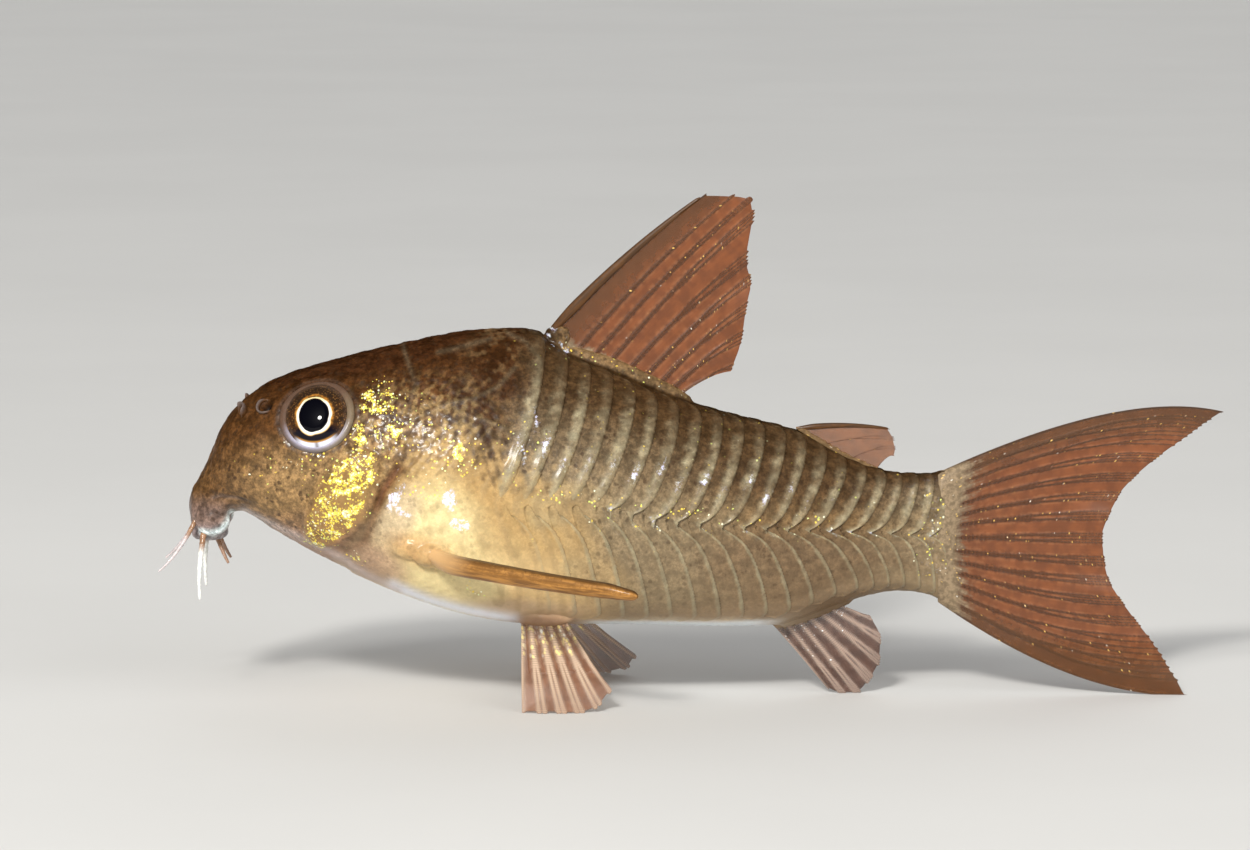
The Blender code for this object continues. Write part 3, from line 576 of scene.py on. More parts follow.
@dataclass(frozen=True)
class WetSkin:
    """Skin and plates: colour from the markings, with their painted shade and highlights, speckles, metal flecks,
    painted lavender-white highlights where the shine is set, and a wet coat.
    """

    name: str = "wet_skin"
    speckles_per_mm: float = 2.6
    flecks_per_mm: float = 1.9
    glitter_per_mm: float = 5.5
    grain_per_mm: float = 7.0

    def make(self) -> bpy.types.Material:
        """Return the material."""
        n = Nodes(self.name)
        tint, mottle = n.attribute("tint", True), n.attribute("mottle")
        gold, shine = n.attribute("gold"), n.attribute("shine")
        clouds = n.noise(1.5, 4, 0.6)
        shade = n.ramp(clouds, 0.36, 0.66, 0.52, 1.28)
        shade = n.math("MULTIPLY", shade, n.ramp(n.noise(5.0, 4, 0.7), 0.40, 0.60, 0.72, 1.26))
        shade = n.math("ADD", 1.0, n.math("MULTIPLY", n.math("SUBTRACT", shade, 1.0), mottle))
        base = n.mix(1.0, tint, n.add("CombineXYZ", {0: shade, 1: shade, 2: shade}).outputs[0], "MULTIPLY")
        spot_gap, spot_colour = n.cells(self.speckles_per_mm)
        spot_pick = n.add("SeparateColor", {0: spot_colour}).outputs[0]
        spot = n.math("MULTIPLY", n.ramp(spot_gap, 0.28, 0.52, 1, 0), n.ramp(spot_pick, 0.40, 0.55))
        spot = n.math("MULTIPLY", spot, n.ramp(n.noise(0.9, 3), 0.40, 0.62))
        spot = n.math("MULTIPLY", spot, n.math("MULTIPLY", mottle, 0.85), clamp=True)
        base = n.mix(spot, base, (0.040, 0.019, 0.008))
        fleck, fleck_colour = self.clusters(n, gold)
        base = n.mix(fleck, base, fleck_colour)
        fine, fine_green = self.flecks(n, n.math("MULTIPLY", gold, 0.75), self.glitter_per_mm)
        fine_colour = n.mix(n.ramp(fine_green, 0.35, 0.6), (1.0, 0.72, 0.10), (0.80, 0.92, 0.22))
        fine_colour = n.mix(n.ramp(fine_green, 0.72, 0.85), fine_colour, (1.0, 0.98, 0.72))
        base = n.mix(n.math("MULTIPLY", fine, 0.9), base, fine_colour)
        # Painted highlights: lavender to white glints laid into the colour wherever the shine attribute is set.
        ragged = n.ramp(n.math("ADD", n.noise(3.4, 5, 0.75), n.math("MULTIPLY", shine, 0.15)), 0.56, 0.68)
        patchy = n.math("MULTIPLY", n.math("MULTIPLY", shine, ragged), 1.15, clamp=True)
        core = n.ramp(n.noise(2.3, 3), 0.46, 0.60)
        base = n.mix(patchy, base, n.mix(core, PALETTE.lavender, (0.90, 0.97, 1.0)))
        metal = n.math("MAXIMUM", n.math("MULTIPLY", fleck, 0.12), n.math("MULTIPLY", fine, 0.12))
        metal = n.math("MAXIMUM", metal, n.math("MULTIPLY", patchy, 0.15), clamp=True)
        rough = n.math("SUBTRACT", n.ramp(clouds, 0.3, 0.7, 0.36, 0.50), n.math("MULTIPLY", metal, 0.2))
        grain = n.math("ADD", n.noise(self.grain_per_mm, 2), n.math("MULTIPLY", spot_gap, 0.6))
        return n.finish({"Base Color": base, "Metallic": metal, "Roughness": rough,
                         "Normal": n.bump(grain, 0.4, 0.00004), "Coat Weight": 0.14, "Coat Roughness": 0.14,
                         "Specular IOR Level": 0.22,
                         "Subsurface Weight": 0.06, "Subsurface Radius": (0.9, 0.45, 0.25),
                         "Subsurface Scale": 0.0006})

    def clusters(self, n: Nodes, density: bpy.types.NodeSocket) -> tuple[bpy.types.NodeSocket, bpy.types.NodeSocket]:
        """Return where ragged clusters of metal grains are, and their colour."""
        edge = n.math("SUBTRACT", 0.73, n.math("MULTIPLY", density, 0.262))
        inside = n.math("SUBTRACT", n.noise(self.flecks_per_mm, 5, 0.72), edge)
        gap, colour = n.cells(self.grain_per_mm)
        parts = n.add("SeparateColor", {0: colour})
        heat = n.math("ADD", n.math("MULTIPLY", inside, 5.5), n.math("MULTIPLY", parts.outputs[0], 0.66))
        tone = n.mix(n.ramp(heat, 0.12, 0.48), (0.42, 0.27, 0.035), (0.98, 0.72, 0.07))
        tone = n.mix(n.math("MULTIPLY", n.ramp(parts.outputs[1], 0.45, 0.75), 0.7), tone, (0.80, 0.86, 0.16))
        tone = n.mix(n.ramp(heat, 0.80, 1.05), tone, (1.0, 0.99, 0.70))
        shown = n.math("MULTIPLY", n.ramp(inside, 0.0, 0.035), n.ramp(gap, 0.42, 0.75, 1.0, 0.45))
        return shown, tone

    def flecks(self, n: Nodes, density: bpy.types.NodeSocket,
               per_mm: float) -> tuple[bpy.types.NodeSocket, bpy.types.NodeSocket]:
        """Return where the metal flecks of one size are and a random share for their colour."""
        gap, colour = n.cells(per_mm)
        parts = n.add("SeparateColor", {0: colour})
        clump = n.math("MULTIPLY", density, n.ramp(n.noise(1.7, 3, 0.7), 0.38, 0.58, 0.25, 1.25))
        picked = n.ramp(n.math("ADD", parts.outputs[0], clump), 1.0, 1.06)
        return n.math("MULTIPLY", picked, n.ramp(gap, 0.30, 0.50, 1, 0)), parts.outputs[1]


@dataclass(frozen=True)
class FinSkin:
    """A fin: thin membrane between darker rays, with glints along them and flesh at the root."""

    name: str
    membrane: Colour = (0.225, 0.074, 0.021)
    ray: Colour = (0.092, 0.030, 0.008)
    halo: Colour = (0.36, 0.15, 0.06)
    margin: Colour = (0.085, 0.038, 0.012)
    flesh: Colour = (0.170, 0.104, 0.048)
    glint: Colour = (1.0, 0.66, 0.18)
    clearness: float = 0.80
    ray_cover: float = 0.84
    segments: float = 44.0
    glints: float = 0.3
    glint_band: tuple = (-0.2, -0.1, 1.0, 1.3)
    glint_grid: tuple = (5.0, 75.0)
    glint_size: tuple = (0.18, 0.36)

    def make(self) -> bpy.types.Material:
        """Return the material."""
        n = Nodes(self.name)
        place, out = n.attribute("ray_place"), n.attribute("ray_out")
        gap = n.math("ABSOLUTE", n.math("SUBTRACT", n.math("FRACT", n.math("ADD", place, 0.5)), 0.5))
        gap = n.math("ABSOLUTE", n.math("SUBTRACT", gap, n.attribute("first_fork")))
        gap = n.math("ABSOLUTE", n.math("SUBTRACT", gap, n.attribute("second_fork")))
        gap = n.math("DIVIDE", gap, n.attribute("ray_width"))
        on_ray = n.math("MULTIPLY", n.ramp(gap, 0.1, 1.6, 1, 0), n.ramp(out, 0.55, 1.0, 1.0, 0.7))
        sheet = n.mix(n.math("MULTIPLY", n.ramp(gap, 1.1, 2.6, 0.4, 0), n.ramp(n.noise(2.4), 0.4, 0.6)),
                      self.membrane, self.halo)
        sheet = self.shaded(n, sheet, n.ramp(n.noise(1.2), 0.35, 0.65, 0.8, 1.12))
        sheet = self.shaded(n, sheet, n.ramp(self.spread(n, 9.0, 2.0), 0.3, 0.7, 0.94, 1.05))
        joint = n.math("FRACT", n.math("MULTIPLY", out, self.segments))
        joint = n.math("ABSOLUTE", n.math("SUBTRACT", joint, 0.5))
        ray = self.shaded(n, n.mix(0.0, self.ray, self.ray), n.ramp(joint, 0.1, 0.4, 0.8, 1.15))
        base = n.mix(on_ray, sheet, ray)
        margin = n.math("MULTIPLY", n.attribute("margin"), 0.68)
        base = n.mix(margin, base, self.margin)
        root = self.flesh_share(n, on_ray)
        grain = n.ramp(n.noise(3.0, 4, 0.65), 0.36, 0.64, 0.72, 1.28)
        base = n.mix(root, base, self.shaded(n, n.mix(0.0, self.flesh, self.flesh), grain))
        dot, white = self.dots(n, place, out, on_ray, root)
        base = n.mix(dot, base, n.mix(white, self.glint, (1.0, 0.98, 0.88)))
        cover = n.math("MAXIMUM", n.math("MULTIPLY", on_ray, self.ray_cover), n.math("MAXIMUM", root, dot))
        cover = n.math("MAXIMUM", cover, margin)
        alpha = n.math("MAXIMUM", cover, self.clearness, clamp=True)
        return n.finish({"Base Color": base, "Alpha": alpha, "Metallic": n.math("MULTIPLY", dot, 0.3),
                         "Roughness": n.ramp(on_ray, 0, 1, 0.36, 0.42), "Specular IOR Level": 0.18,
                         "Normal": n.bump(on_ray, 0.12, 0.00003)})

    def shaded(self, n: Nodes, colour: object, shade: object) -> bpy.types.NodeSocket:
        """Return the colour made darker or lighter."""
        return n.mix(1.0, colour, n.add("CombineXYZ", {0: shade, 1: shade, 2: shade}).outputs[0], "MULTIPLY")

    def spread(self, n: Nodes, across: float, along: float) -> bpy.types.NodeSocket:
        """Return noise in streaks that follow the rays."""
        place = n.math("MULTIPLY", n.attribute("ray_place"), across)
        out = n.math("MULTIPLY", n.attribute("ray_out"), along)
        vector = n.add("CombineXYZ", {0: place, 1: out}).outputs[0]
        return n.add("TexNoise", {"Vector": vector, "Scale": 1.0, "Detail": 2.0}).outputs["Fac"]

    def flesh_share(self, n: Nodes, on_ray: bpy.types.NodeSocket) -> bpy.types.NodeSocket:
        """Return how much of the root's flesh shows, in a ragged fringe that the rays part."""
        root = n.attribute("flesh")
        fringe = n.math("MULTIPLY", n.math("MULTIPLY", root, n.math("SUBTRACT", 1.0, root)), 4.0)
        ragged = n.math("MULTIPLY", n.math("SUBTRACT", n.noise(2.2, 4, 0.7), 0.5), 1.9)
        ragged = n.math("ADD", ragged, n.math("MULTIPLY", n.math("SUBTRACT", self.spread(n, 5.0, 9.0), 0.5), 1.5))
        ragged = n.math("SUBTRACT", ragged, n.math("MULTIPLY", on_ray, 0.55))
        return n.ramp(n.math("ADD", root, n.math("MULTIPLY", fringe, ragged)), 0.1, 0.95)

    def dots(self, n: Nodes, place: bpy.types.NodeSocket, out: bpy.types.NodeSocket, on_ray: bpy.types.NodeSocket,
             root: bpy.types.NodeSocket) -> tuple[bpy.types.NodeSocket, bpy.types.NodeSocket]:
        """Return where the small glints are and which of them are white."""
        across, along = self.glint_grid
        spread = n.add("CombineXYZ", {0: n.math("MULTIPLY", place, across), 1: n.math("MULTIPLY", out, along)})
        cells = n.add("TexVoronoi", {"Vector": spread.outputs[0], "Scale": 1.0})
        parts = n.add("SeparateColor", {0: cells.outputs["Color"]})
        rise = n.ramp(out, *self.glint_band[:2])
        fall = n.ramp(out, *self.glint_band[2:], 1.0, 0.0)
        wanted = n.math("MULTIPLY", n.math("MULTIPLY", rise, fall), 0.4 * self.glints)
        pick = n.ramp(n.math("ADD", parts.outputs[0], wanted), 1.0, 1.02)
        dot = n.math("MULTIPLY", n.ramp(cells.outputs["Distance"], *self.glint_size, 1, 0), pick)
        dot = n.math("MULTIPLY", dot, n.math("MAXIMUM", on_ray, n.math("MULTIPLY", root, 0.7)), clamp=True)
        return dot, n.ramp(parts.outputs[1], 0.78, 0.92)


@dataclass(frozen=True)
class SpineBone:
    """A fin's stout spine: brown horn with fine stripes along it."""

    name: str
    colour: Colour = (0.20, 0.115, 0.055)
    dark: Colour = (0.07, 0.036, 0.018)
    edge: Colour = (0.045, 0.020, 0.008)
    root: Colour = (0.20, 0.115, 0.055)
    gloss: float = 0.15
    root_reach: tuple = (0.0, 0.06)

    def make(self) -> bpy.types.Material:
        """Return the material."""
        n = Nodes(self.name)
        round_it = [n.math("MULTIPLY", n.attribute(label), 2.6) for label in ("ray_place", "second_fork")]
        along = n.math("MULTIPLY", n.attribute("first_fork"), 9.0)
        vector = n.add("CombineXYZ", {0: round_it[0], 1: round_it[1], 2: along}).outputs[0]
        grain = n.add("TexNoise", {"Vector": vector, "Scale": 1.0, "Detail": 5.0, "Roughness": 0.6}).outputs["Fac"]
        base = n.mix(n.ramp(grain, 0.35, 0.65), self.dark, self.colour)
        upward = n.attribute("ray_out")
        speck = n.math("MULTIPLY", n.ramp(n.noise(3.6, 4, 0.7), 0.46, 0.58, 0.35, 1.0), 0.8)
        base = n.mix(n.math("MULTIPLY", speck, n.ramp(upward, 0.30, 0.62)), base, self.dark)
        base = n.mix(n.math("MULTIPLY", n.ramp(upward, 0.74, 0.95), 0.9), base, self.edge)
        base = n.mix(n.ramp(n.attribute("first_fork"), *self.root_reach, 1.0, 0.0), base, self.root)
        return n.finish({"Base Color": base, "Roughness": n.ramp(grain, 0.3, 0.7, 0.28, 0.42),
                         "Normal": n.bump(grain, 0.2, 0.00003), "Coat Weight": self.gloss, "Coat Roughness": 0.15,
                         "Specular IOR Level": 0.2})


@dataclass(frozen=True)
class EyeGlaze:
    """The eyeball: its painted iris under a clear, wet surface."""

    name: str = "eye_glaze"

    def make(self) -> bpy.types.Material:
        """Return the material."""
        n = Nodes(self.name)
        tint, speckle, metal = n.attribute("tint", True), n.attribute("mottle"), n.attribute("gold")
        gap, colour = n.cells(9.0)
        pick = n.add("SeparateColor", {0: colour}).outputs[0]
        dots = n.math("MULTIPLY", n.ramp(gap, 0.25, 0.5, 1, 0), n.ramp(pick, 0.5, 0.6))
        base = n.mix(n.math("MULTIPLY", dots, speckle), tint, (0.24, 0.115, 0.034))
        dark = n.math("MULTIPLY", n.ramp(n.noise(4.0), 0.4, 0.62), speckle)
        base = n.mix(n.math("MULTIPLY", dark, 0.7), base, (0.016, 0.012, 0.008))
        return n.finish({"Base Color": base, "Metallic": metal, "Roughness": 0.4, "Specular IOR Level": 0.03,
                         "Coat Weight": 0.45, "Coat Roughness": 0.02, "Coat IOR": 1.34})


@dataclass(frozen=True)
class BarbelSkin:
    """The feelers: pale, slightly pearly skin, browner at the root."""

    name: str = "barbel_skin"

    def make(self) -> bpy.types.Material:
        """Return the material."""
        n = Nodes(self.name)
        tint = n.attribute("tint", True)
        cloud = n.ramp(n.noise(4.0), 0.35, 0.65, 0.82, 1.08)
        base = n.mix(1.0, tint, n.add("CombineXYZ", {0: cloud, 1: cloud, 2: cloud}).outputs[0], "MULTIPLY")
        return n.finish({"Base Color": base, "Roughness": 0.3, "Coat Weight": 0.5, "Coat Roughness": 0.1,
                         "Subsurface Weight": 0.15, "Subsurface Radius": (0.8, 0.6, 0.5),
                         "Subsurface Scale": 0.0003, "Normal": n.bump(n.noise(9.0, 2), 0.3, 0.00003)})


@dataclass(frozen=True)
class StudioPaper:
    """The pale floor, a matt card with a hint of tooth."""

    name: str = "studio_paper"
    colour: Colour = (0.64, 0.635, 0.62)

    def make(self) -> bpy.types.Material:
        """Return the material."""
        n = Nodes(self.name)
        share = n.ramp(n.noise(0.02, 5), 0.3, 0.7)
        base = n.mix(share, self.colour, tuple(0.97 * c for c in self.colour))
        return n.finish({"Base Color": base, "Roughness": 0.75, "Normal": n.bump(n.noise(1.0), 0.05, 0.00005)})


# Markings


@dataclass
class Markings:
    """The fish's colours and flecks at any place on its skin or plates."""

    shape: BodyShape
    trunk_degrees: tuple = (0, 9, 15, 30, 62, 84, 100, 128, 146, 158, 180)
    gold_patches: tuple = (
        (20.6, 27.2, 7.2, 3.3, 57, 0.22, 1.0),
        (20.5, 33.6, 7.0, 3.6, 12, 0.5, 0.36),
        (12.5, 31.6, 5.5, 3.4, 0, 0.6, 0.16),
        (26.0, 40.9, 2.2, 1.9, 20, 0.45, 0.98),
        (24.3, 39.0, 1.0, 1.0, 0, 0.5, 0.85),
        (23.4, 36.4, 0.9, 1.5, 0, 0.5, 0.80),
        (27.6, 36.4, 0.8, 1.0, 0, 0.5, 0.75),
        (28.8, 37.4, 4.0, 3.4, 20, 0.5, 0.34),
        (35.8, 33.6, 3.6, 3.2, 0, 0.5, 0.36),
        (36.3, 34.4, 0.7, 1.6, 0, 0.4, 0.75),
        (44.5, 34.6, 3.4, 4.5, 0, 0.5, 0.18),
        (99.2, 20.5, 2.6, 6.5, 0, 0.6, 0.30),
        (31.2, 29.4, 3.0, 2.4, 0, 0.5, 0.24),
        (22.4, 20.2, 1.5, 0.6, -25, 0.5, 0.7),
        (37.8, 16.0, 2.6, 0.55, -35, 0.5, 0.6))
    shine_patches: tuple = (
        (28.0, 28.2, 0.85, 1.9, -22, 0.35, 1.0),
        (29.0, 26.2, 1.2, 0.5, -30, 0.5, 0.7),
        (35.2, 28.0, 0.7, 1.6, -18, 0.35, 0.9),
        (36.3, 24.6, 1.1, 0.8, 0, 0.4, 0.8),
        (36.2, 35.2, 0.4, 0.9, 0, 0.4, 0.6),
        (99.6, 21.5, 2.4, 7.0, 0, 0.7, 0.10),
        (44.4, 34.3, 0.4, 1.5, 12, 0.5, 0.8),
        (46.1, 38.3, 0.35, 1.4, 12, 0.5, 0.7))
    gill_slit: tuple = ((28.3, 32.0), (26.2, 28.9), (25.2, 25.6), (23.9, 22.2), (21.6, 20.6))
    cheek_line: tuple = ((19.7, 31.1), (16.9, 27.1), (16.6, 24.5), (18.1, 22.5))
    nape_lines: tuple = (((33.3, 46.3), (40.2, 47.9)), ((42.5, 48.5), (44.9, 47.6), (46.8, 45.1), (46.4, 41.5)),
                         ((30.0, 38.0), (34.5, 40.2), (38.4, 40.9), (41.3, 42.2), (43.5, 44.5)),
                         ((38.7, 38.4), (42.3, 37.1)), ((28.6, 46.9), (30.4, 42.8), (29.6, 39.0)))
    mouth_fold: tuple = ((3.4, 27.0), (4.6, 27.4), (6.4, 27.2), (8.0, 26.8))
    jaw_rim: tuple = ((7.5, 25.2), (12.0, 23.3), (19.0, 20.4), (24.0, 17.4), (28.0, 15.4))
    belly_highlight_line: tuple = ((27.5, 15.9), (32.0, 13.9), (36.3, 12.6), (43.2, 11.1))

    def trunk(self, degrees: Array) -> Array:
        """Return the trunk's colour from the back to the belly."""
        p = PALETTE
        deep = tuple(0.8 * c for c in p.brown)
        stops = np.array([p.dark_back, p.dark_back, deep, deep, p.brown, p.tan, p.rosy_tan, p.rosy_tan,
                          p.low_tan, p.pale_belly, p.pale_belly])
        return np.stack([np.interp(degrees, self.trunk_degrees, stops[:, c]) for c in range(3)], axis=-1)

    def head(self, station: Array, height: Array) -> Array:
        """Return the head's colour, darker on top and on the snout."""
        p = PALETTE
        level = height - 0.18 * station
        stops = np.array([p.throat, p.throat, p.cheek, p.cheek, p.snout, p.nape, p.nape])
        heights = (12, 19, 24, 29, 34.5, 40, 50)
        colour = np.stack([np.interp(level, heights, stops[:, c]) for c in range(3)], axis=-1)
        front = (1 - ease(station, 3, 13)) * ease(height, 20, 26)
        return blend(colour, p.snout, 0.8 * front)

    def paint(self, points: Array, degrees: Array, flank: Array) -> dict[str, Array]:
        """Return the colour, with its painted highlights under the belly, and the strengths of mottling, gold and
        painted shine.

        Args:
            points: Places in percent.
            degrees: Angle round the body, from 0 on the back to 180 on the belly.
            flank: Where the ring through the place crosses the lateral line.

        Returns:
            The values of tint, mottle, gold and shine.
        """
        p = PALETTE
        station, height = points[..., 0], points[..., 2]
        clouds = ripple(points, 4.5, 1)
        patchy = ripple(points, 1.8, 2)
        tint = self.trunk(degrees + 3 * clouds)
        tint = blend(tint, p.rosy_tan, ease(degrees, 136, 150) * ease(station, 66, 86))
        tint = blend(tint, p.olive_tan, 0.85 * ease(degrees, 62, 84) * ease(station, 40, 50) * (1 - ease(station + 4 * clouds, 58, 80)) * (1 - ease(degrees, 126, 146)))
        tint = blend(tint, p.olive_tan,
                     0.42 * ease(degrees, 36, 60) * ease(station, 38, 44) * (1 - ease(station, 56, 76)))
        tint = blend(tint, p.olive_tan, 0.70 * ease(station + 3 * patchy, 86, 99) * ease(degrees, 24, 60))
        lifted = 17 * bell(station, 33.5, 6.5)
        fine = ripple(points, 0.8, 21)
        warm = (ease(station, 24, 32) * (1 - ease(station + 3 * clouds, 46, 59))
                * ease(degrees + lifted + 4 * patchy + 9 * fine, 66, 90))
        tint = blend(tint, p.honey, 0.85 * warm)
        chest = warm * (1 - ease(station + 2 * clouds, 37, 45))
        tint = blend(tint, p.peach, warm * ease(degrees, 92, 112))
        tint = blend(tint, p.cream, 0.95 * chest * ease(degrees + 1.4 * lifted, 92, 116))
        tint = blend(tint, (0.40, 0.32, 0.175), 0.6 * warm * ease(clouds + 0.5 * patchy, -0.2, 0.8) * ease(station, 40, 48))
        tint = blend(tint, (0.56, 0.40, 0.26), 0.75 * warm * ease(degrees + 3 * clouds, 126, 138) * ease(station, 34, 42))
        folds = np.sin(2 * math.pi * flank / 2.7 + 1.6 * clouds) * ease(station, 36, 42)
        tint = blend(tint, (0.36, 0.25, 0.12), 0.40 * warm * ease(folds + 0.6 * patchy + 0.5 * fine, 0.1, 1.0))
        in_head = 1 - ease(flank, 24.2, 26.0)
        tint = blend(tint, self.head(station, height), in_head)
        nape = (ease(flank, 23, 27) * (1 - ease(flank + 1.2 * patchy, 37, 41)) * (1 - ease(degrees + lifted + 5 * clouds + 9 * fine, 56, 74)))
        tint = blend(tint, p.nape, 0.9 * nape)
        tint = blend(tint, p.tan, 0.42 * nape * ease(patchy + fine, 0.1, 0.9))
        blotches = ripple(points, 0.75, 34) + 0.45 * patchy
        freckled = oval(station, height, (29.5, 36.2, 10.5, 5.6, 8, 0.6))
        tint = blend(tint, (0.46, 0.31, 0.125), 0.45 * freckled * ease(-blotches, -0.10, 0.45))
        tint = blend(tint, p.nape, 0.50 * freckled * ease(blotches, 0.22, 0.48))
        below = (1 - ease(height, 15, 22)) * (1 - ease(station, 20, 30))
        tint = blend(tint, p.throat, 0.6 * below)
        tint = blend(tint, (0.64, 0.50, 0.31), 0.8 * oval(station, height, (28.3, 25.4, 4.4, 2.2, 60, 0.5)))
        tint = blend(tint, (0.50, 0.33, 0.21), 0.8 * oval(station, height, (25.8, 19.0, 3.6, 2.2, -25, 0.6)))
        tint = self.lines(tint, station, height, degrees)
        off_station = station + 0.55 * ripple(points, 1.0, 30)
        off_height = height + 0.55 * ripple(points, 1.0, 31)
        gold = sum(patch[6] * oval(off_station, off_height, patch[:6]) for patch in self.gold_patches)
        gold = np.clip(gold * (0.85 + 0.5 * patchy), 0, 1)
        lower_gold = oval(off_station, off_height, (20.6, 27.2, 7.2, 3.4, 57, 0.2))
        tint = blend(tint, p.gill_gold, 0.6 * lower_gold)
        along_line = bell(degrees, 84, 5) * ease(station, 40, 50) * (1 - ease(station, 84, 96))
        gold = np.maximum(gold, 0.42 * along_line * ease(patchy, -0.3, 0.5))
        gold = np.maximum(gold, 0.035 * ease(station, 40, 46) * (1 - ease(degrees, 100, 125)))
        # Painted highlights: the shine patches mark lavender-white glints on the head and the tail's root.
        shine = sum(patch[6] * oval(off_station, off_height, patch[:6]) for patch in self.shine_patches)
        shine = np.clip(shine, 0, 1)
        mottle = np.interp(degrees, (0, 60, 90, 120, 145, 180), (0.9, 0.8, 0.6, 0.4, 0.12, 0.05))
        mottle = np.maximum(mottle, 0.92 * in_head * ease(height - 0.1 * station, 17, 22))
        mottle = mottle * (1 - 0.6 * warm) * (1 - 0.75 * lower_gold)
        return {"tint": np.clip(tint, 0.004, 0.95), "mottle": mottle, "gold": gold, "shine": shine}

    def lines(self, tint: Array, station: Array, height: Array, degrees: Array) -> Array:
        """Return the colour with the slits, sutures and painted highlights along the underside of the belly."""
        p = PALETTE
        slit = near_line(station, height, self.gill_slit, 0.5 + 0.2 * ease(height, 21, 30))
        tint = blend(tint, p.slit, 0.85 * slit * (0.35 * ease(height, 18, 22) + 0.65 * ease(height, 25.4, 28)))
        tint = blend(tint, (0.10, 0.05, 0.03), 0.7 * near_line(station, height, self.cheek_line, 0.3))
        for line in self.nape_lines:
            tint = blend(tint, p.plate_edge, 0.14 * near_line(station, height, line, 0.30))
        tint = blend(tint, p.rim, 0.45 * near_line(station, height, self.mouth_fold, 0.25))
        # Painted highlight: a blue-white band along the belly's lower edge.
        white = near_line(station, height, self.belly_highlight_line, 1.0) * ease(degrees, 118, 138)
        tint = blend(tint, (0.90, 0.92, 1.0), 0.95 * white)
        jaw = near_line(station, height, self.jaw_rim, 0.7) * ease(degrees, 100, 120)
        tint = blend(tint, (0.66, 0.54, 0.50), 0.6 * jaw)
        # Painted reflection: a pale blue-grey band low on the belly's underside.
        rim = ease(degrees, 151, 160) * ease(station, 50, 56) * (1 - ease(station, 74, 80))
        tint = blend(tint, (0.80, 0.86, 0.90), 0.9 * rim)
        shoulder = oval(station, height, (31.6, 21.0, 4.4, 1.9, -20, 0.6))
        tint = blend(tint, (0.42, 0.20, 0.065), 0.7 * shoulder)
        lobe = oval(station, height, (47.3, 10.3, 4.6, 1.8, 0, 0.5))
        tint = blend(tint, (0.30, 0.17, 0.10), 0.85 * lobe)
        chin = (1 - ease(station, 5.6, 9.5)) * (1 - ease(height, 22.0, 24.2))
        return blend(tint, p.lavender, 0.35 * chin)


# The skin


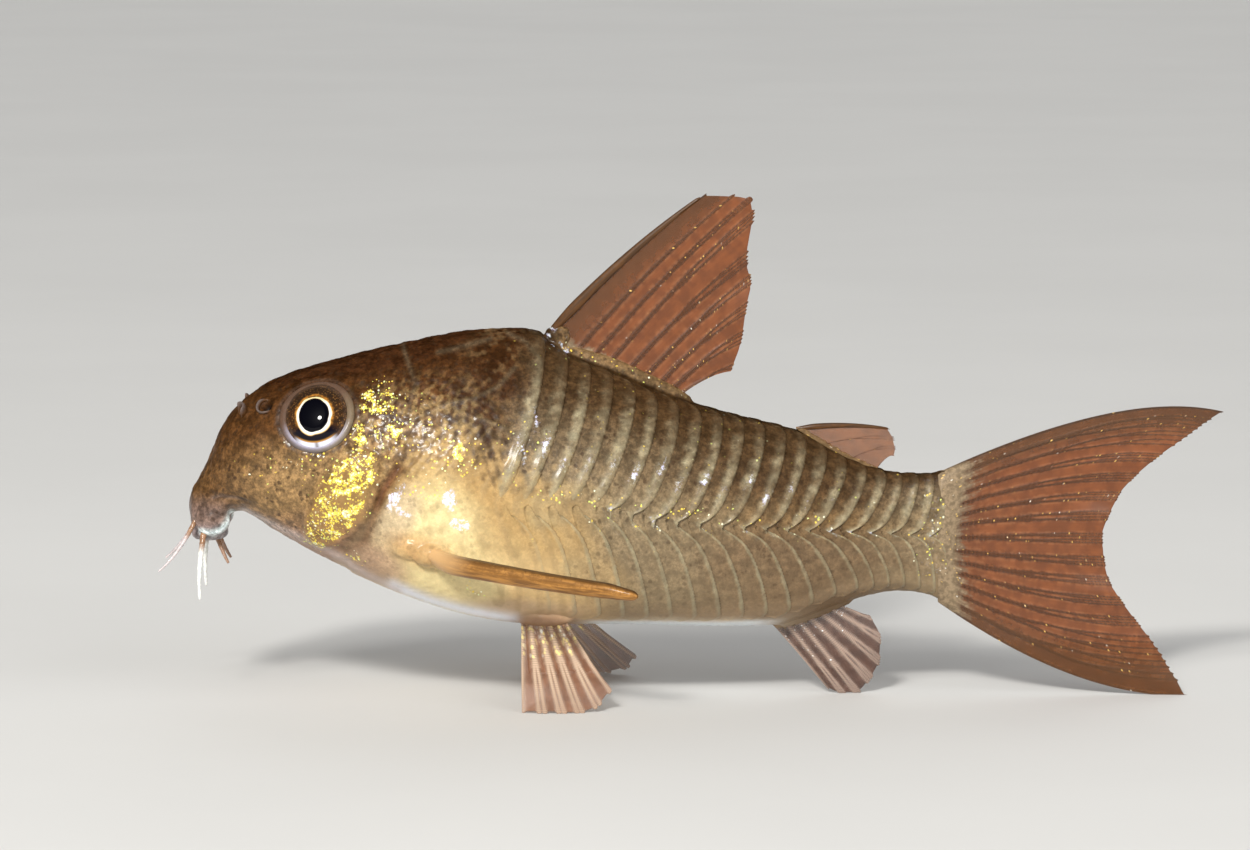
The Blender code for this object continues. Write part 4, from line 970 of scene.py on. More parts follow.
@dataclass
class Skin:
    """One skin over head, trunk and tail, with the eyes' rims and the nostrils' flaps."""

    shape: BodyShape
    markings: Markings
    voxel: float = 0.2
    rings: int = 250
    columns: int = 128
    smoothing: int = 5
    mouth_smoothing: int = 8
    muzzle: tuple = ((2.9, 0.0, 23.5), (2.6, 4.4, 2.1))
    lip_place: tuple = (2.7, 0.0, 21.75)
    lip_radii: tuple = (1.7, 3.3)
    lip_roll: float = 0.78
    mouth: tuple = ((2.6, 0.0, 21.0), (0.85, 2.6))
    mouth_depth: float = 1.0
    corner_lobe: tuple = ((3.3, 4.1, 23.9), (2.4, 1.5, 2.2))
    dorsal_sheath: tuple = (48.6, 67.2, 1.7, 1.05)
    anal_sheath: tuple = (77.6, 88.6, 1.0, 0.8)
    adipose_sheath: tuple = (80.9, 86.0, 0.55, 0.6)
    knob: tuple = ((49.0, 0.0, 47.7), (1.7, 1.0, 1.8))
    shoulder: tuple = (((30.6, 21.3), -0.5, (3.2, 1.1, 1.5)), ((32.9, 20.5), -0.1, (2.6, 1.5, 1.55)),
                       ((34.6, 20.0), 0.2, (1.6, 1.3, 1.45)))
    lip_crescent: tuple = ((5.8, 24.8), (5.4, 23.6), (4.5, 22.7), (3.2, 22.2), (1.8, 22.4))
    nostrils: tuple = (((7.5, 38.2), 0.62, 1.45, 20), ((10.7, 39.3), 0.92, 0.75, 200))
    eye_opening: float = 4.3
    rim_radii: tuple = (4.55, 0.60)

    def ellipsoid(self, centre: Sequence[float], radii: Sequence[float], rows: int = 40) -> tuple[Array, Array]:
        """Return the points and quads of an ellipsoid whose poles are on Z."""
        polar = np.linspace(0.02, math.pi - 0.02, rows)[:, None]
        turn = np.linspace(0, 2 * math.pi, 2 * rows, endpoint=False)[None, :]
        grid = np.stack([np.sin(polar) * np.cos(turn), np.sin(polar) * np.sin(turn),
                         np.cos(polar) * np.ones_like(turn)], axis=-1)
        return self.closed(grid * radii + np.asarray(centre))

    def closed(self, grid: Array) -> tuple[Array, Array]:
        """Return a wrapped grid as points and quads, with its two end rows closed."""
        rows, columns = grid.shape[:2]
        i, j = np.meshgrid(np.arange(rows - 1), np.arange(columns), indexing="ij")
        after = (j + 1) % columns
        sides = np.stack([i * columns + j, (i + 1) * columns + j, (i + 1) * columns + after,
                          i * columns + after], axis=-1).reshape(-1, 4)
        k = np.arange(columns // 2 - 1)
        rungs = np.stack([k, k + 1, columns - 2 - k, columns - 1 - k], axis=-1)
        last = rungs[:, ::-1] + (rows - 1) * columns
        return grid.reshape(-1, 3), np.concatenate([sides, rungs, last])

    def trunk(self) -> tuple[Array, Array]:
        """Return the smooth body."""
        share = np.linspace(0, 1, self.rings)
        flank = 0.02 + 102.2 * (0.55 * share + 0.45 * share**2)
        angle = np.linspace(0, 2 * math.pi, self.columns, endpoint=False)
        angle = np.where(angle > math.pi, angle - 2 * math.pi, angle)
        station = self.shape.swept(flank[:, None], angle[None, :])
        return self.closed(self.shape.surface(np.clip(station, 0.001, 102.25), angle[None, :]))

    def lips(self) -> tuple[Array, Array]:
        """Return the ring of the two lips."""
        turn = np.linspace(0, 2 * math.pi, 90, endpoint=False)[:, None]
        roll = np.linspace(0, 2 * math.pi, 24, endpoint=False)[None, :]
        reach = self.lip_roll * np.cos(roll)
        grid = np.stack([self.lip_place[0] + (self.lip_radii[0] + reach) * np.cos(turn),
                         (self.lip_radii[1] + reach) * np.sin(turn),
                         self.lip_place[2] + self.lip_roll * np.sin(roll) * np.ones_like(turn)], axis=-1)
        rows, columns = grid.shape[:2]
        i, j = np.meshgrid(np.arange(rows), np.arange(columns), indexing="ij")
        down, after = (i + 1) % rows, (j + 1) % columns
        faces = np.stack([i * columns + j, down * columns + j, down * columns + after,
                          i * columns + after], axis=-1).reshape(-1, 4)
        return grid.reshape(-1, 3), faces

    def ridge(self, sheath: Sequence[float], outline: Outline, way: int) -> tuple[Array, Array]:
        """Return the fleshy fold along a fin's root.

        Args:
            sheath: First and last station, height and half width of the fold.
            outline: The back's or the belly's outline.
            way: 1 on the back and -1 under the belly.

        Returns:
            Points and quads.
        """
        start, end, rise, half = sheath
        share = np.linspace(0, 1, 70)[:, None]
        turn = np.linspace(0, 2 * math.pi, 28, endpoint=False)[None, :]
        station = start + (end - start) * share
        fullness = np.sqrt(np.clip(1 - (2 * share - 1) ** 6, 0.001, 1))
        lift = rise * (0.75 + 0.25 * np.sin(math.pi * (1 - share))) * fullness
        across = half * fullness * np.sin(turn)
        height = outline(station) + way * (np.cos(turn) * (lift + 1.6) - 1.6)
        return self.closed(np.stack([station * np.ones_like(turn), across, height], axis=-1))

    def fuse(self) -> tuple[Array, Array]:
        """Return body, muzzle, lips, lobes and fin roots as one closed surface."""
        shapes = [self.trunk(), self.lips(), self.ellipsoid(*self.muzzle),
                  self.ridge(self.dorsal_sheath, self.shape.back, 1),
                  self.ridge(self.anal_sheath, self.shape.belly, -1),
                  self.ridge(self.adipose_sheath, self.shape.back, 1),
                  self.ellipsoid(*self.knob)]
        for side in Side:
            station, across, height = self.corner_lobe[0]
            shapes.append(self.ellipsoid((station, side.value * across, height), self.corner_lobe[1]))
            middle = self.shape.surface(47.3, side.value * math.radians(152))
            shapes.append(self.ellipsoid(middle, (3.9, 1.5, 1.1)))
            for place, lift, radii in self.shoulder:
                shapes.append(self.ellipsoid(self.shape.skin_point(*place, side, lift)[0], radii))
        points, faces, first = [], [], 0
        for grid, quads in shapes:
            points.append(grid)
            faces.append(quads + first)
            first += len(grid)
        mesh = bpy.data.meshes.new("flesh_pieces")
        mesh.from_pydata(np.concatenate(points), [], np.concatenate(faces).tolist())
        rough = bpy.data.objects.new("flesh_pieces", mesh)
        bpy.context.scene.collection.objects.link(rough)
        remesh = rough.modifiers.new("remesh", "REMESH")
        remesh.mode = "VOXEL"
        remesh.voxel_size = self.voxel
        evaluated = rough.evaluated_get(bpy.context.evaluated_depsgraph_get())
        result = bpy.data.meshes.new_from_object(evaluated)
        whole = np.zeros(len(result.vertices) * 3)
        result.vertices.foreach_get("co", whole)
        corners = np.zeros(len(result.loops), np.int32)
        result.loops.foreach_get("vertex_index", corners)
        bpy.data.objects.remove(rough)
        bpy.data.meshes.remove(result)
        return whole.reshape(-1, 3), corners.reshape(-1, 4)

    def soften(self, points: Array, faces: Array) -> Array:
        """Return the points smoothed, most round the mouth."""
        edges = np.concatenate([faces[:, [k, (k + 1) % 4]] for k in range(4)])
        edges = np.unique(np.sort(edges, axis=1), axis=0)
        start, end = np.concatenate([edges, edges[:, ::-1]]).T
        count = np.bincount(start, minlength=len(points))
        near_mouth = (1 - ease(points[:, 0], 6.5, 9)) * (1 - ease(points[:, 2], 27, 30))
        for turn in range(self.smoothing + self.mouth_smoothing):
            mean = np.stack([np.bincount(start, points[end, c], minlength=len(points)) for c in range(3)], axis=1)
            share = 0.6 if turn < self.smoothing else 0.35 * near_mouth[:, None]
            points = points + share * (mean / count[:, None] - points)
        return points

    def normals(self, points: Array, faces: Array) -> Array:
        """Return the direction out of the skin at each point."""
        corner = points[faces]
        face_normal = np.cross(corner[:, 2] - corner[:, 0], corner[:, 3] - corner[:, 1])
        total = np.zeros_like(points)
        for k in range(4):
            for c in range(3):
                total[:, c] += np.bincount(faces[:, k], face_normal[:, c], minlength=len(points))
        return unit(total)

    def relief(self, points: Array, degrees: Array, flank: Array) -> Array:
        """Return how far the skin rises above the smooth body at each point."""
        m = self.markings
        station, height = points[:, 0], points[:, 2]
        head = 1 - ease(flank, 25, 27)
        cover = oval(station, height, (20.9, 27.5, 7.3, 3.9, 57, 0.10))
        lift = 0.42 * cover
        lift += 0.22 * oval(station, height, (20.2, 27.6, 5.2, 2.3, 57, 0.4))
        lift -= (0.16 + 0.24 * ease(height, 24, 27)) * near_line(station, height, m.gill_slit, 0.5)
        lift -= 0.16 * near_line(station, height, m.cheek_line, 0.3)
        lift -= 0.22 * near_line(station, height, m.mouth_fold, 0.25)
        for line in m.nape_lines:
            lift += 0.08 * near_line(station, height, line, 0.35)
        lift += 0.20 * ease(flank, 25.8, 26.6) * (1 - ease(flank, 30, 40)) * ease(degrees, 60, 80)
        lift += 0.07 * ripple(points, 1.3, 3) * head
        lift += 0.035 * ripple(points, 0.6, 4)
        for side in Side:
            here = points[:, 1] * side.value > 0
            for place, radius, _, _ in self.nostrils:
                middle = self.shape.skin_point(*place, side)[0]
                gap = np.linalg.norm(points - middle, axis=1)
                lift -= np.where(here, 1.0 - ease(gap, 0.4 * radius, 1.15 * radius), 0)
                lift += np.where(here, 0.16 * bell(gap, 1.45 * radius, 0.3), 0)
            centre, axes = eye_frame(self.shape, side)
            away = (points - centre) @ axes
            out = np.hypot(away[:, 0], away[:, 1])
            facing = here & (away[:, 2] > -1)
            lift += np.where(facing, 0.30 * bell(out, 5.6, 0.9), 0)
            lift -= np.where(facing, 2.2 * (1 - ease(out, self.eye_opening - 0.5, self.eye_opening)), 0)
        knob = np.linalg.norm(points - self.knob[0], axis=1)
        return lift + 0.25 * bell(knob, 1.8, 0.8) * ripple(points, 0.9, 5)

    def open_mouth(self, points: Array, ways: Array) -> Array:
        """Return the points with the mouth pressed up between the lips."""
        (station, _, _), (along, across) = self.mouth
        reach = np.hypot((points[:, 0] - station) / along, points[:, 1] / across)
        depth = self.mouth_depth * (1 - ease(reach, 0.45, 1.1)) * ease(-ways[:, 2], 0.1, 0.6)
        return points + np.stack([0 * depth, 0 * depth, depth * (points[:, 2] < 24)], axis=1)

    def eye_rims(self, pile: MeshPile) -> None:
        """Add the soft ring of skin round each eye."""
        middle_radius, roll_radius = self.rim_radii
        turn = np.linspace(0, 2 * math.pi, 120, endpoint=False)[:, None]
        roll = np.linspace(0, 2 * math.pi, 20, endpoint=False)[None, :]
        for side in Side:
            centre, axes = eye_frame(self.shape, side)
            reach = middle_radius + roll_radius * np.cos(roll)
            flat = np.stack([reach * np.cos(turn), reach * np.sin(turn)], axis=-1)
            spot = centre + flat[..., :1] * axes[:, 0] + flat[..., 1:] * axes[:, 1]
            height = on_skin(self.shape, spot, axes[:, 2], side)
            rise = 0.62 * roll_radius * np.sin(roll) + 0.10
            grid = spot + (height + rise)[..., None] * axes[:, 2]
            grid = np.concatenate([grid, grid[:1]])
            low = ease(-np.sin(turn) * np.ones_like(roll), 0.1, 0.95)
            tint = blend(np.broadcast_to(PALETTE.rim, (*low.shape, 3)), PALETTE.snout, 0.7 * (1 - low))
            behind = ease(np.cos(turn + 0.45) * np.ones_like(roll), 0.25, 1.0)
            tint = blend(tint, (0.235, 0.185, 0.11), 0.55 * behind)
            tint = blend(tint, PALETTE.lavender, 0.52 * low * ease(-np.cos(roll), -0.7, 0.5))
            # Painted shade where the rim's outer side meets the skin.
            tint = blend(tint, (0.04, 0.025, 0.018), 0.8 * ease(np.cos(roll) * np.ones_like(turn), 0.75, 1.0))
            tint = np.concatenate([tint, tint[:1]])
            none = np.zeros(grid.shape[:2])
            edge = 0.02 if side is Side.LEFT else 0.06
            pile.add_grid(grid, {"tint": tint, "mottle": none + 0.15, "gold": none, "shine": none},
                          (0.0, 0.955 + edge / 2, 0.45, 0.97 + edge / 2), wrap=True)

    def nostril_flaps(self, pile: MeshPile) -> None:
        """Add the thin collars that stand up behind the front nostrils and ahead of the rear ones."""
        turn = np.linspace(0, 2 * math.pi, 40, endpoint=False)[:, None]
        roll = np.linspace(0, 2 * math.pi, 12, endpoint=False)[None, :]
        for side in Side:
            for place, radius, tall, tilt in self.nostrils:
                middle, way = self.shape.skin_point(*place, side, -0.15)
                axes = axes_of(way)
                lean = math.radians(tilt)
                fullness = 0.12 + 0.88 * ease(np.cos(turn - lean), -0.8, 0.5)
                height = tall * fullness * (0.5 + 0.5 * np.sin(roll))
                reach = 1.2 * radius + 0.17 * np.cos(roll) + 0.18 * height
                grid = (middle + (reach * np.cos(turn))[..., None] * axes[:, 0]
                        + (reach * np.sin(turn))[..., None] * axes[:, 1] + height[..., None] * axes[:, 2])
                tint = blend(np.broadcast_to(PALETTE.snout, (*height.shape, 3)), PALETTE.rim,
                             0.8 * ease(height, 0.35 * tall, tall))
                grid, tint = np.concatenate([grid, grid[:1]]), np.concatenate([tint, tint[:1]])
                none = np.zeros(grid.shape[:2])
                pile.add_grid(grid, {"tint": tint, "mottle": none + 0.3, "gold": none, "shine": none},
                              (0.5, 0.965, 0.9, 0.975), wrap=True)

    def build(self, material: bpy.types.Material) -> None:
        """Make the skin and let it stand for head, torso and tail."""
        points, faces = self.fuse()
        points = self.soften(points, faces)
        ways = self.normals(points, faces)
        angle = self.shape.angles_of(points)
        flank = self.shape.flank_of(points[:, 0], angle)
        degrees = np.degrees(angle)
        lift = self.relief(points, degrees, flank)
        values = self.markings.paint(points, degrees, flank)
        self.paint_tints_shade_and_highlights(values, points, ways, lift)
        points = self.open_mouth(points + lift[:, None] * ways, ways)
        pile = MeshPile()
        first = pile.add_points(points, values)
        around = np.where(points[:, 1] < 0, -degrees, degrees)[faces]
        crossing = np.ptp(around, axis=1) > 180
        around = np.where(crossing[:, None] & (around < 0), around + 360, around)
        along = (np.clip(points[:, 0], 0, 103) + 1) / 105
        pile.add_faces(faces + first, np.stack([along[faces], 0.01 + 0.93 * (around + 181) / 364], axis=-1), 0)
        self.eye_rims(pile)
        self.nostril_flaps(pile)
        dress(pile.build("skin", [material]), ("head", "torso", "tail"))

    def paint_tints_shade_and_highlights(self, values: dict[str, Array], points: Array, ways: Array, lift: Array) -> None:
        """Paint shade into the mouth, the nostrils and the groove round each eye, paint a pale blue-white band and a
        highlight on the lips and highlights on the knob, and tint the muzzle and the sheath of the dorsal fin.
        """
        p = PALETTE
        tint = values["tint"]
        # Painted shade inside the mouth opening.
        reach = np.hypot((points[:, 0] - self.mouth[0][0]) / 0.95, points[:, 1] / 2.75)
        under = (points[:, 2] < 23) & (ways[:, 2] < -0.2)
        tint = blend(tint, (0.10, 0.04, 0.03), np.where(under, 1 - ease(reach, 0.7, 1.1), 0))
        lip = np.where(points[:, 0] < 6, bell(points[:, 2], 21.4, 0.85), 0)
        tint = blend(tint, (0.72, 0.92, 1.0), 0.55 * lip * ease(points[:, 0], 0.6, 2.0))
        muzzle = (1 - ease(points[:, 0], 4.4, 7.0)) * (1 - ease(points[:, 2], 24.6, 28.0))
        tint = blend(tint, (0.21, 0.145, 0.125), 0.75 * muzzle)
        # Painted highlight along the crescent at the side of the lips.
        crescent = near_line(points[:, 0], points[:, 2], self.lip_crescent, 0.46) * ease(np.abs(points[:, 1]), 2.4, 3.4)
        tint = blend(tint, (0.88, 1.0, 1.0), 0.97 * crescent)
        for side in Side:
            for place, radius, _, _ in self.nostrils:
                middle = self.shape.skin_point(*place, side)[0]
                gap = np.linalg.norm(points - middle, axis=1)
                # Painted shade in the nostril pits.
                tint = blend(tint, (0.012, 0.008, 0.006), 1 - ease(gap, 0.45 * radius, radius))
            centre, axes = eye_frame(self.shape, side)
            away = (points - centre) @ axes
            out = np.hypot(away[:, 0], away[:, 1])
            # Painted shade in the groove round the eye's rim.
            eye_groove_shade = np.where(away[:, 2] > -1, bell(out, 5.35, 0.22), 0)
            tint = blend(tint, (0.07, 0.04, 0.025), 0.6 * eye_groove_shade)
        # Painted highlights: glints on the knob, set as shine.
        knob = bell(np.linalg.norm(points - self.knob[0], axis=1), 1.2, 1.6)
        values["shine"] = np.clip(values["shine"] + 0.8 * knob * ease(ripple(points, 0.8, 6), 0.25, 0.5), 0, 1)
        on_sheath = np.where(np.abs(points[:, 1]) < 1.4, ease(points[:, 2] - self.shape.back(points[:, 0]), -0.1, 0.5), 0)
        on_sheath = on_sheath * ease(points[:, 0], 48, 50) * (1 - ease(points[:, 0], 66, 69))
        tint = blend(tint, p.tan, 0.9 * on_sheath)
        values["gold"] = np.maximum(values["gold"], 0.20 * on_sheath)
        values["tint"] = tint


def eye_frame(shape: BodyShape, side: Side) -> tuple[Array, Array]:
    """Return the eye's centre and axes on that side. The last axis looks out of the head."""
    place, way = shape.skin_point(17.5, 38.45, side)
    return place - 1.35 * way, axes_of(way)


def on_skin(shape: BodyShape, spots: Array, way: Array, side: Side) -> Array:
    """Return how far each spot has to move along the way to lie on the body's surface."""
    low, high = np.full(spots.shape[:-1], -4.0), np.full(spots.shape[:-1], 6.0)
    for _ in range(24):
        middle = (low + high) / 2
        here = spots + middle[..., None] * way
        top, flank, bottom, half = shape.section(here[..., 0])
        above = here[..., 2] >= flank
        power = np.where(above, shape.roof_power(here[..., 0]), shape.keel_power(here[..., 0]))
        reach = np.where(above, top - flank, flank - bottom)
        inside = ((np.abs(here[..., 2] - flank) / reach) ** power
                  + (np.clip(side.value * here[..., 1], 0, None) / half) ** power) < 1
        low, high = np.where(inside, middle, low), np.where(inside, high, middle)
    return (low + high) / 2


# Plates


@dataclass
class PlateRows:
    """The two rows of overlapping plates on each flank, each plate a thin closed shell."""

    shape: BodyShape
    markings: Markings
    plates: int = 21
    first: float = 38.6
    last: float = 100.2
    shrink: float = 0.82
    tuck: float = 0.14
    overlap: float = 0.10
    rows: int = 20
    columns: int = 56
    rise: float = 0.28
    rib: float = 0.10
    thickness: float = 0.11

    def edges(self) -> Array:
        """Return the stations on the lateral line at which the plates meet."""
        pitch = np.linspace(1, self.shrink, self.plates)
        share = np.concatenate([[0], np.cumsum(pitch) / pitch.sum()])
        return self.first + (self.last - self.first) * share

    def plate(self, pile: MeshPile, number: int, row: Row, side: Side, draw: np.random.Generator) -> None:
        """Add one plate: its outer face, its rounded rear edge and its inner face as one loop."""
        edges = self.edges()
        front, rear = edges[number], edges[number + 1]
        pitch = rear - front
        along = np.linspace(0, 1, self.rows) ** 0.85
        across = np.linspace(0, 1, self.columns)
        p, q = np.meshgrid(along, across, indexing="xy")
        hook = 0.55 if row is Row.LOWER else 0.10 + 0.45 * float(ease(front, 46, 60))
        corner = 1 - np.abs(2 * q - 1) ** 9 * hook
        reach = self.tuck + 1 + self.overlap
        ragged = 0.020 * np.sin(2 * math.pi * q * 26 + number) * p**6
        flank = front - self.tuck * pitch + reach * pitch * p * (corner + ragged)
        if row is Row.UPPER:
            under_fin = bell(front, 53, 9)
            start = 5.5 + 6.5 * under_fin + 1.0 * p
            end = 88.6 + 3.6 * bell(p, 0.66, 0.26)
        else:
            start = 91.2 - 3.4 * bell(p, 0.34, 0.25)
            end = np.interp(front, (40, 60, 80, 98), (150, 154, 150, 166)) - 3 * (1 - p) + 0 * q
        degrees = start + (end - start) * q
        angle = side.value * np.radians(degrees)
        fade = 1.0 if row is Row.UPPER else float(np.clip((front - 35) / 10, 0, 1))
        taper = ease(q, -0.02, 0.10 if row is Row.UPPER else 0.06) * ease(1 - q, -0.02, 0.05 if row is Row.UPPER else 0.25)
        vary = draw.uniform(0.9, 1.1)
        top = 0.05 + self.rise * vary * p**1.2 + self.rib * bell(p, 0.82, 0.12)
        top = top - 0.27 * np.clip((p - 0.80) / 0.20, 0, 1) ** 2
        top = 0.05 + (top - 0.05) * (0.3 + 0.7 * taper) * (1 - 0.5 * float(ease(front, 88, 97)))
        sunk = 0.22 * (1 - fade)
        place = self.shape.surface(self.shape.swept(flank, np.abs(angle)), angle)
        out = self.shape.outward(place[..., 0], angle)
        relief = 0.024 * ripple(place, 0.55, 8) + 0.02 * ripple(place, 1.6, 9)
        if number == 0:
            top = top - 0.34 * (1 - ease(p, 0.05, 0.6))
        if row is Row.UPPER:
            top = top - 0.55 * (1 - ease(1 - q, 0, 0.22)) * (1 - float(ease(front, 46, 60)))
        top = top * (0.35 + 0.65 * fade) + relief * (0.3 + p) - sunk
        low = top - self.thickness * (0.5 + 0.5 * p) - 0.02
        grid = np.concatenate([place + top[..., None] * out, (place + low[..., None] * out)[:, ::-1]], axis=1)
        values = self.colours(place, degrees, flank, p, front, row, fade, draw)
        values = {name: np.concatenate([value, value[:, ::-1]], axis=1) for name, value in values.items()}
        shrunk = 0.88
        middle = place[:, :, 0].mean()
        u = (middle + shrunk * (place[..., 0] - middle) + 1) / 105
        v = 0.5 + side.value * (degrees.mean() + 0.97 * (degrees - degrees.mean())) / 364
        maps = np.stack([u, v], axis=-1)
        maps = np.concatenate([maps, maps[:, ::-1]], axis=1)
        if side is Side.LEFT:
            grid, maps = grid[::-1], maps[::-1]
            values = {name: value[::-1] for name, value in values.items()}
        pile.add_grid(grid, values, wrap=True, caps=True, corner_maps=maps)

    def colours(self, place: Array, degrees: Array, flank: Array, p: Array, front: float, row: Row, fade: float,
                draw: np.random.Generator) -> dict[str, Array]:
        """Return the markings of one plate, with its pale rear edge and painted shade on its front, where it runs under
        the plate ahead.
        """
        values = self.markings.paint(place, degrees, flank)
        tint, palette = values["tint"], PALETTE
        patchy = ripple(place, 1.1, 10)
        lit = draw.uniform(0.85, 1.1) * (0.9 + 0.45 * ripple(place, 0.5, 12))
        if row is Row.UPPER:
            band = ease(p + 0.10 * patchy, 0.44, 0.76) * (1 - ease(p, 0.90, 1.0))
            strength = 0.66 * lit * (0.10 + 0.90 * ease(degrees, 20, 58)) * (0.8 + 0.35 * patchy)
        else:
            band = ease(p + 0.04 * patchy, 0.80, 0.89) * (1 - ease(p, 0.96, 1.0))
            strength = 0.62 * lit * (1 - 0.6 * ease(degrees, 132, 150))
        warm = 1 - 0.45 * (1 - ease(place[..., 0], 46, 58)) * ease(degrees, 80, 95)
        tint = blend(tint, palette.plate_edge, np.clip(band * strength * warm, 0, 1))
        # Painted shade on the plate's front, where it runs under the rear edge of the plate ahead; the first plate has
        # none. A thin darker line lies ahead of the pale band.
        dark = (1 - ease(p, 0.10, 0.42)) * 0.24 + 0.10 * bell(p, 0.54, 0.08)
        dark = dark * (front > self.first + 0.1)
        tint = blend(tint, np.asarray(palette.dark_back), np.clip(dark * warm * (0.35 + 0.65 * fade), 0, 1)
                     * (1 - ease(degrees, 130, 150)) * (1.0 if row is Row.UPPER else 0.55))
        if row is Row.LOWER:
            # Painted shade: a dark line in the crease at the rear edge of the lower plates.
            crease_shade = ease(p, 0.955, 0.99) * (1 - ease(place[..., 0], 54, 66)) * (1 - ease(degrees, 128, 150))
            tint = blend(tint, (0.17, 0.095, 0.045), 0.6 * crease_shade * (0.5 + 0.7 * ease(patchy, -0.6, 0.6)))
        zigzag = bell(degrees, 90, 3.6) * ease(p, 0.35, 0.6) * ease(place[..., 0], 46, 54)
        tint = blend(tint, palette.plate_edge, 0.75 * zigzag * (0.7 + 0.4 * patchy))
        # Painted highlights: glints on the upper plates and along the zigzag at the lateral line, set as shine.
        glint = bell(degrees, 66 + 5 * draw.uniform(-1, 1), 4.5) * bell(p, 0.78, 0.12)
        glint = glint * ease(place[..., 0], 40, 46) * (1 - ease(place[..., 0], 74, 88)) * draw.uniform(0.3, 1.2)
        if row is Row.UPPER:
            values["shine"] = np.maximum(values["shine"], 0.85 * glint)
        values["shine"] = np.maximum(values["shine"], 0.45 * zigzag * ease(patchy, 0.0, 0.5))
        values["gold"] = np.maximum(values["gold"] * (0.6 + 0.6 * band), 0.32 * zigzag)
        values["tint"] = tint
        values["mottle"] = values["mottle"] * (1 - 0.35 * band)
        return values

    def build(self, material: bpy.types.Material) -> None:
        """Make the plates of each side as one piece."""
        for side in Side:
            pile = MeshPile()
            draw = np.random.default_rng(SEED + 40)
            for number in range(self.plates):
                for row in Row:
                    if row is Row.LOWER and self.edges()[number] < 39:
                        continue
                    self.plate(pile, number, row, side, draw)
            dress(pile.build("plates_" + side.name.lower(), [material]))


# Eyes


@dataclass
class Eye:
    """One eyeball, flattened the way it looks, with its iris painted round the pupil."""

    shape: BodyShape
    side: Side
    radii: tuple = (4.85, 4.85, 3.1)
    pupil_place: tuple = (-0.05, -0.50)
    pupil_radii: tuple = (2.02, 2.28)
    ring_width: float = 0.42
    rows: int = 130
    columns: int = 160

    def colours(self, along: Array, up: Array) -> dict[str, Array]:
        """Return the iris's colours at places seen from the front of the eye."""
        x = (along - self.pupil_place[0]) / self.pupil_radii[0]
        z = (up - self.pupil_place[1]) / self.pupil_radii[1]
        turn = np.arctan2(z, x)
        spots = np.stack([along, up, 0 * up], axis=-1)
        from_pupil = (np.hypot(x, z) - 1) * 2.2 + 0.05 * ripple(spots, 0.7, 20)
        out = np.hypot(along, up)
        brown = np.broadcast_to(np.array((0.060, 0.025, 0.009)), (*out.shape, 3))
        tint = blend(brown, (0.022, 0.013, 0.008), ease(np.sin(turn), 0.1, 0.9) * 0.75)
        tint = blend(tint, (0.10, 0.06, 0.04), ease(out, 3.5, 4.0) * 0.6)
        low = ease(-np.sin(np.arctan2(up, along)), 0.68, 0.93)
        under = ease(-np.sin(turn), 0.30, 0.62)
        halo = bell(from_pupil, self.ring_width + 0.12, 0.17) * (1 - 0.85 * under)
        tint = blend(tint, (0.55, 0.22, 0.03), 0.8 * halo)
        tint = blend(tint, (0.004, 0.004, 0.009), 0.96 * under * (1 - ease(out, 3.92, 4.05)))
        crescent = low * ease(out, 3.95, 4.08) * (1 - 0.75 * bell(along, 0.1, 0.25))
        tint = blend(tint, (0.60, 0.28, 0.05), 0.8 * low * bell(out, 3.94, 0.10))
        tint = blend(tint, (0.86, 0.88, 1.0), 0.93 * crescent)
        width = self.ring_width * (0.58 + 0.55 * np.abs(np.cos(turn)) + 0.35 * under + 0.1 * ripple(spots, 1.0, 21))
        ring = ease(from_pupil, 0.0, 0.07) * (1 - ease(from_pupil, width - 0.10, width + 0.05))
        ring_tint = blend(np.broadcast_to(np.array((1.0, 0.97, 0.86)), tint.shape), (0.85, 0.52, 0.18),
                          ease(from_pupil, 0.45 * width, width))
        ring_tint = blend(ring_tint, (0.80, 0.60, 0.20), 0.7 * ease(np.sin(turn), 0.6, 0.95))
        tint = blend(tint, ring_tint, ring)
        pupil = 1 - ease(from_pupil, -0.06, 0.02)
        tint = blend(tint, (0.002, 0.002, 0.004), pupil)
        speckle = (1 - pupil) * (1 - ring) * (1 - crescent) * (1 - under) * (1 - 0.4 * ease(up, 1.5, 3.0))
        return {"tint": tint, "mottle": speckle, "gold": 0.15 * ring + 0.1 * crescent}

    def build(self, material: bpy.types.Material) -> None:
        """Make the eyeball in the place of its node."""
        centre, axes = eye_frame(self.shape, self.side)
        polar = np.concatenate([np.linspace(0.004, 1.25, self.rows), np.linspace(1.28, math.pi - 0.02, 24)])[:, None]
        turn = np.linspace(0, 2 * math.pi, self.columns, endpoint=False)[None, :]
        along = self.radii[0] * np.sin(polar) * np.cos(turn)
        up = self.radii[1] * np.sin(polar) * np.sin(turn)
        x = (along - self.pupil_place[0]) / self.pupil_radii[0]
        z = (up - self.pupil_place[1]) / self.pupil_radii[1]
        lens = 0.10 * (1 - ease(np.hypot(x, z), 0.75, 1.05))
        out = (self.radii[2] + lens * (polar < 1.4)) * np.cos(polar) * np.ones_like(turn)
        grid = centre + along[..., None] * axes[:, 0] + up[..., None] * axes[:, 1] + out[..., None] * axes[:, 2]
        pile = MeshPile()
        values = self.colours(along, up)
        maps = np.stack([0.5 + 0.45 * polar / math.pi * np.cos(turn), 0.5 + 0.45 * polar / math.pi * np.sin(turn)],
                        axis=-1)
        pile.add_grid(grid, values, wrap=True, caps=True, corner_maps=maps)
        name = self.side.name.lower()
        dress(pile.build("eyeball_" + name, [material]), ("eye_" + name,))


# Fins


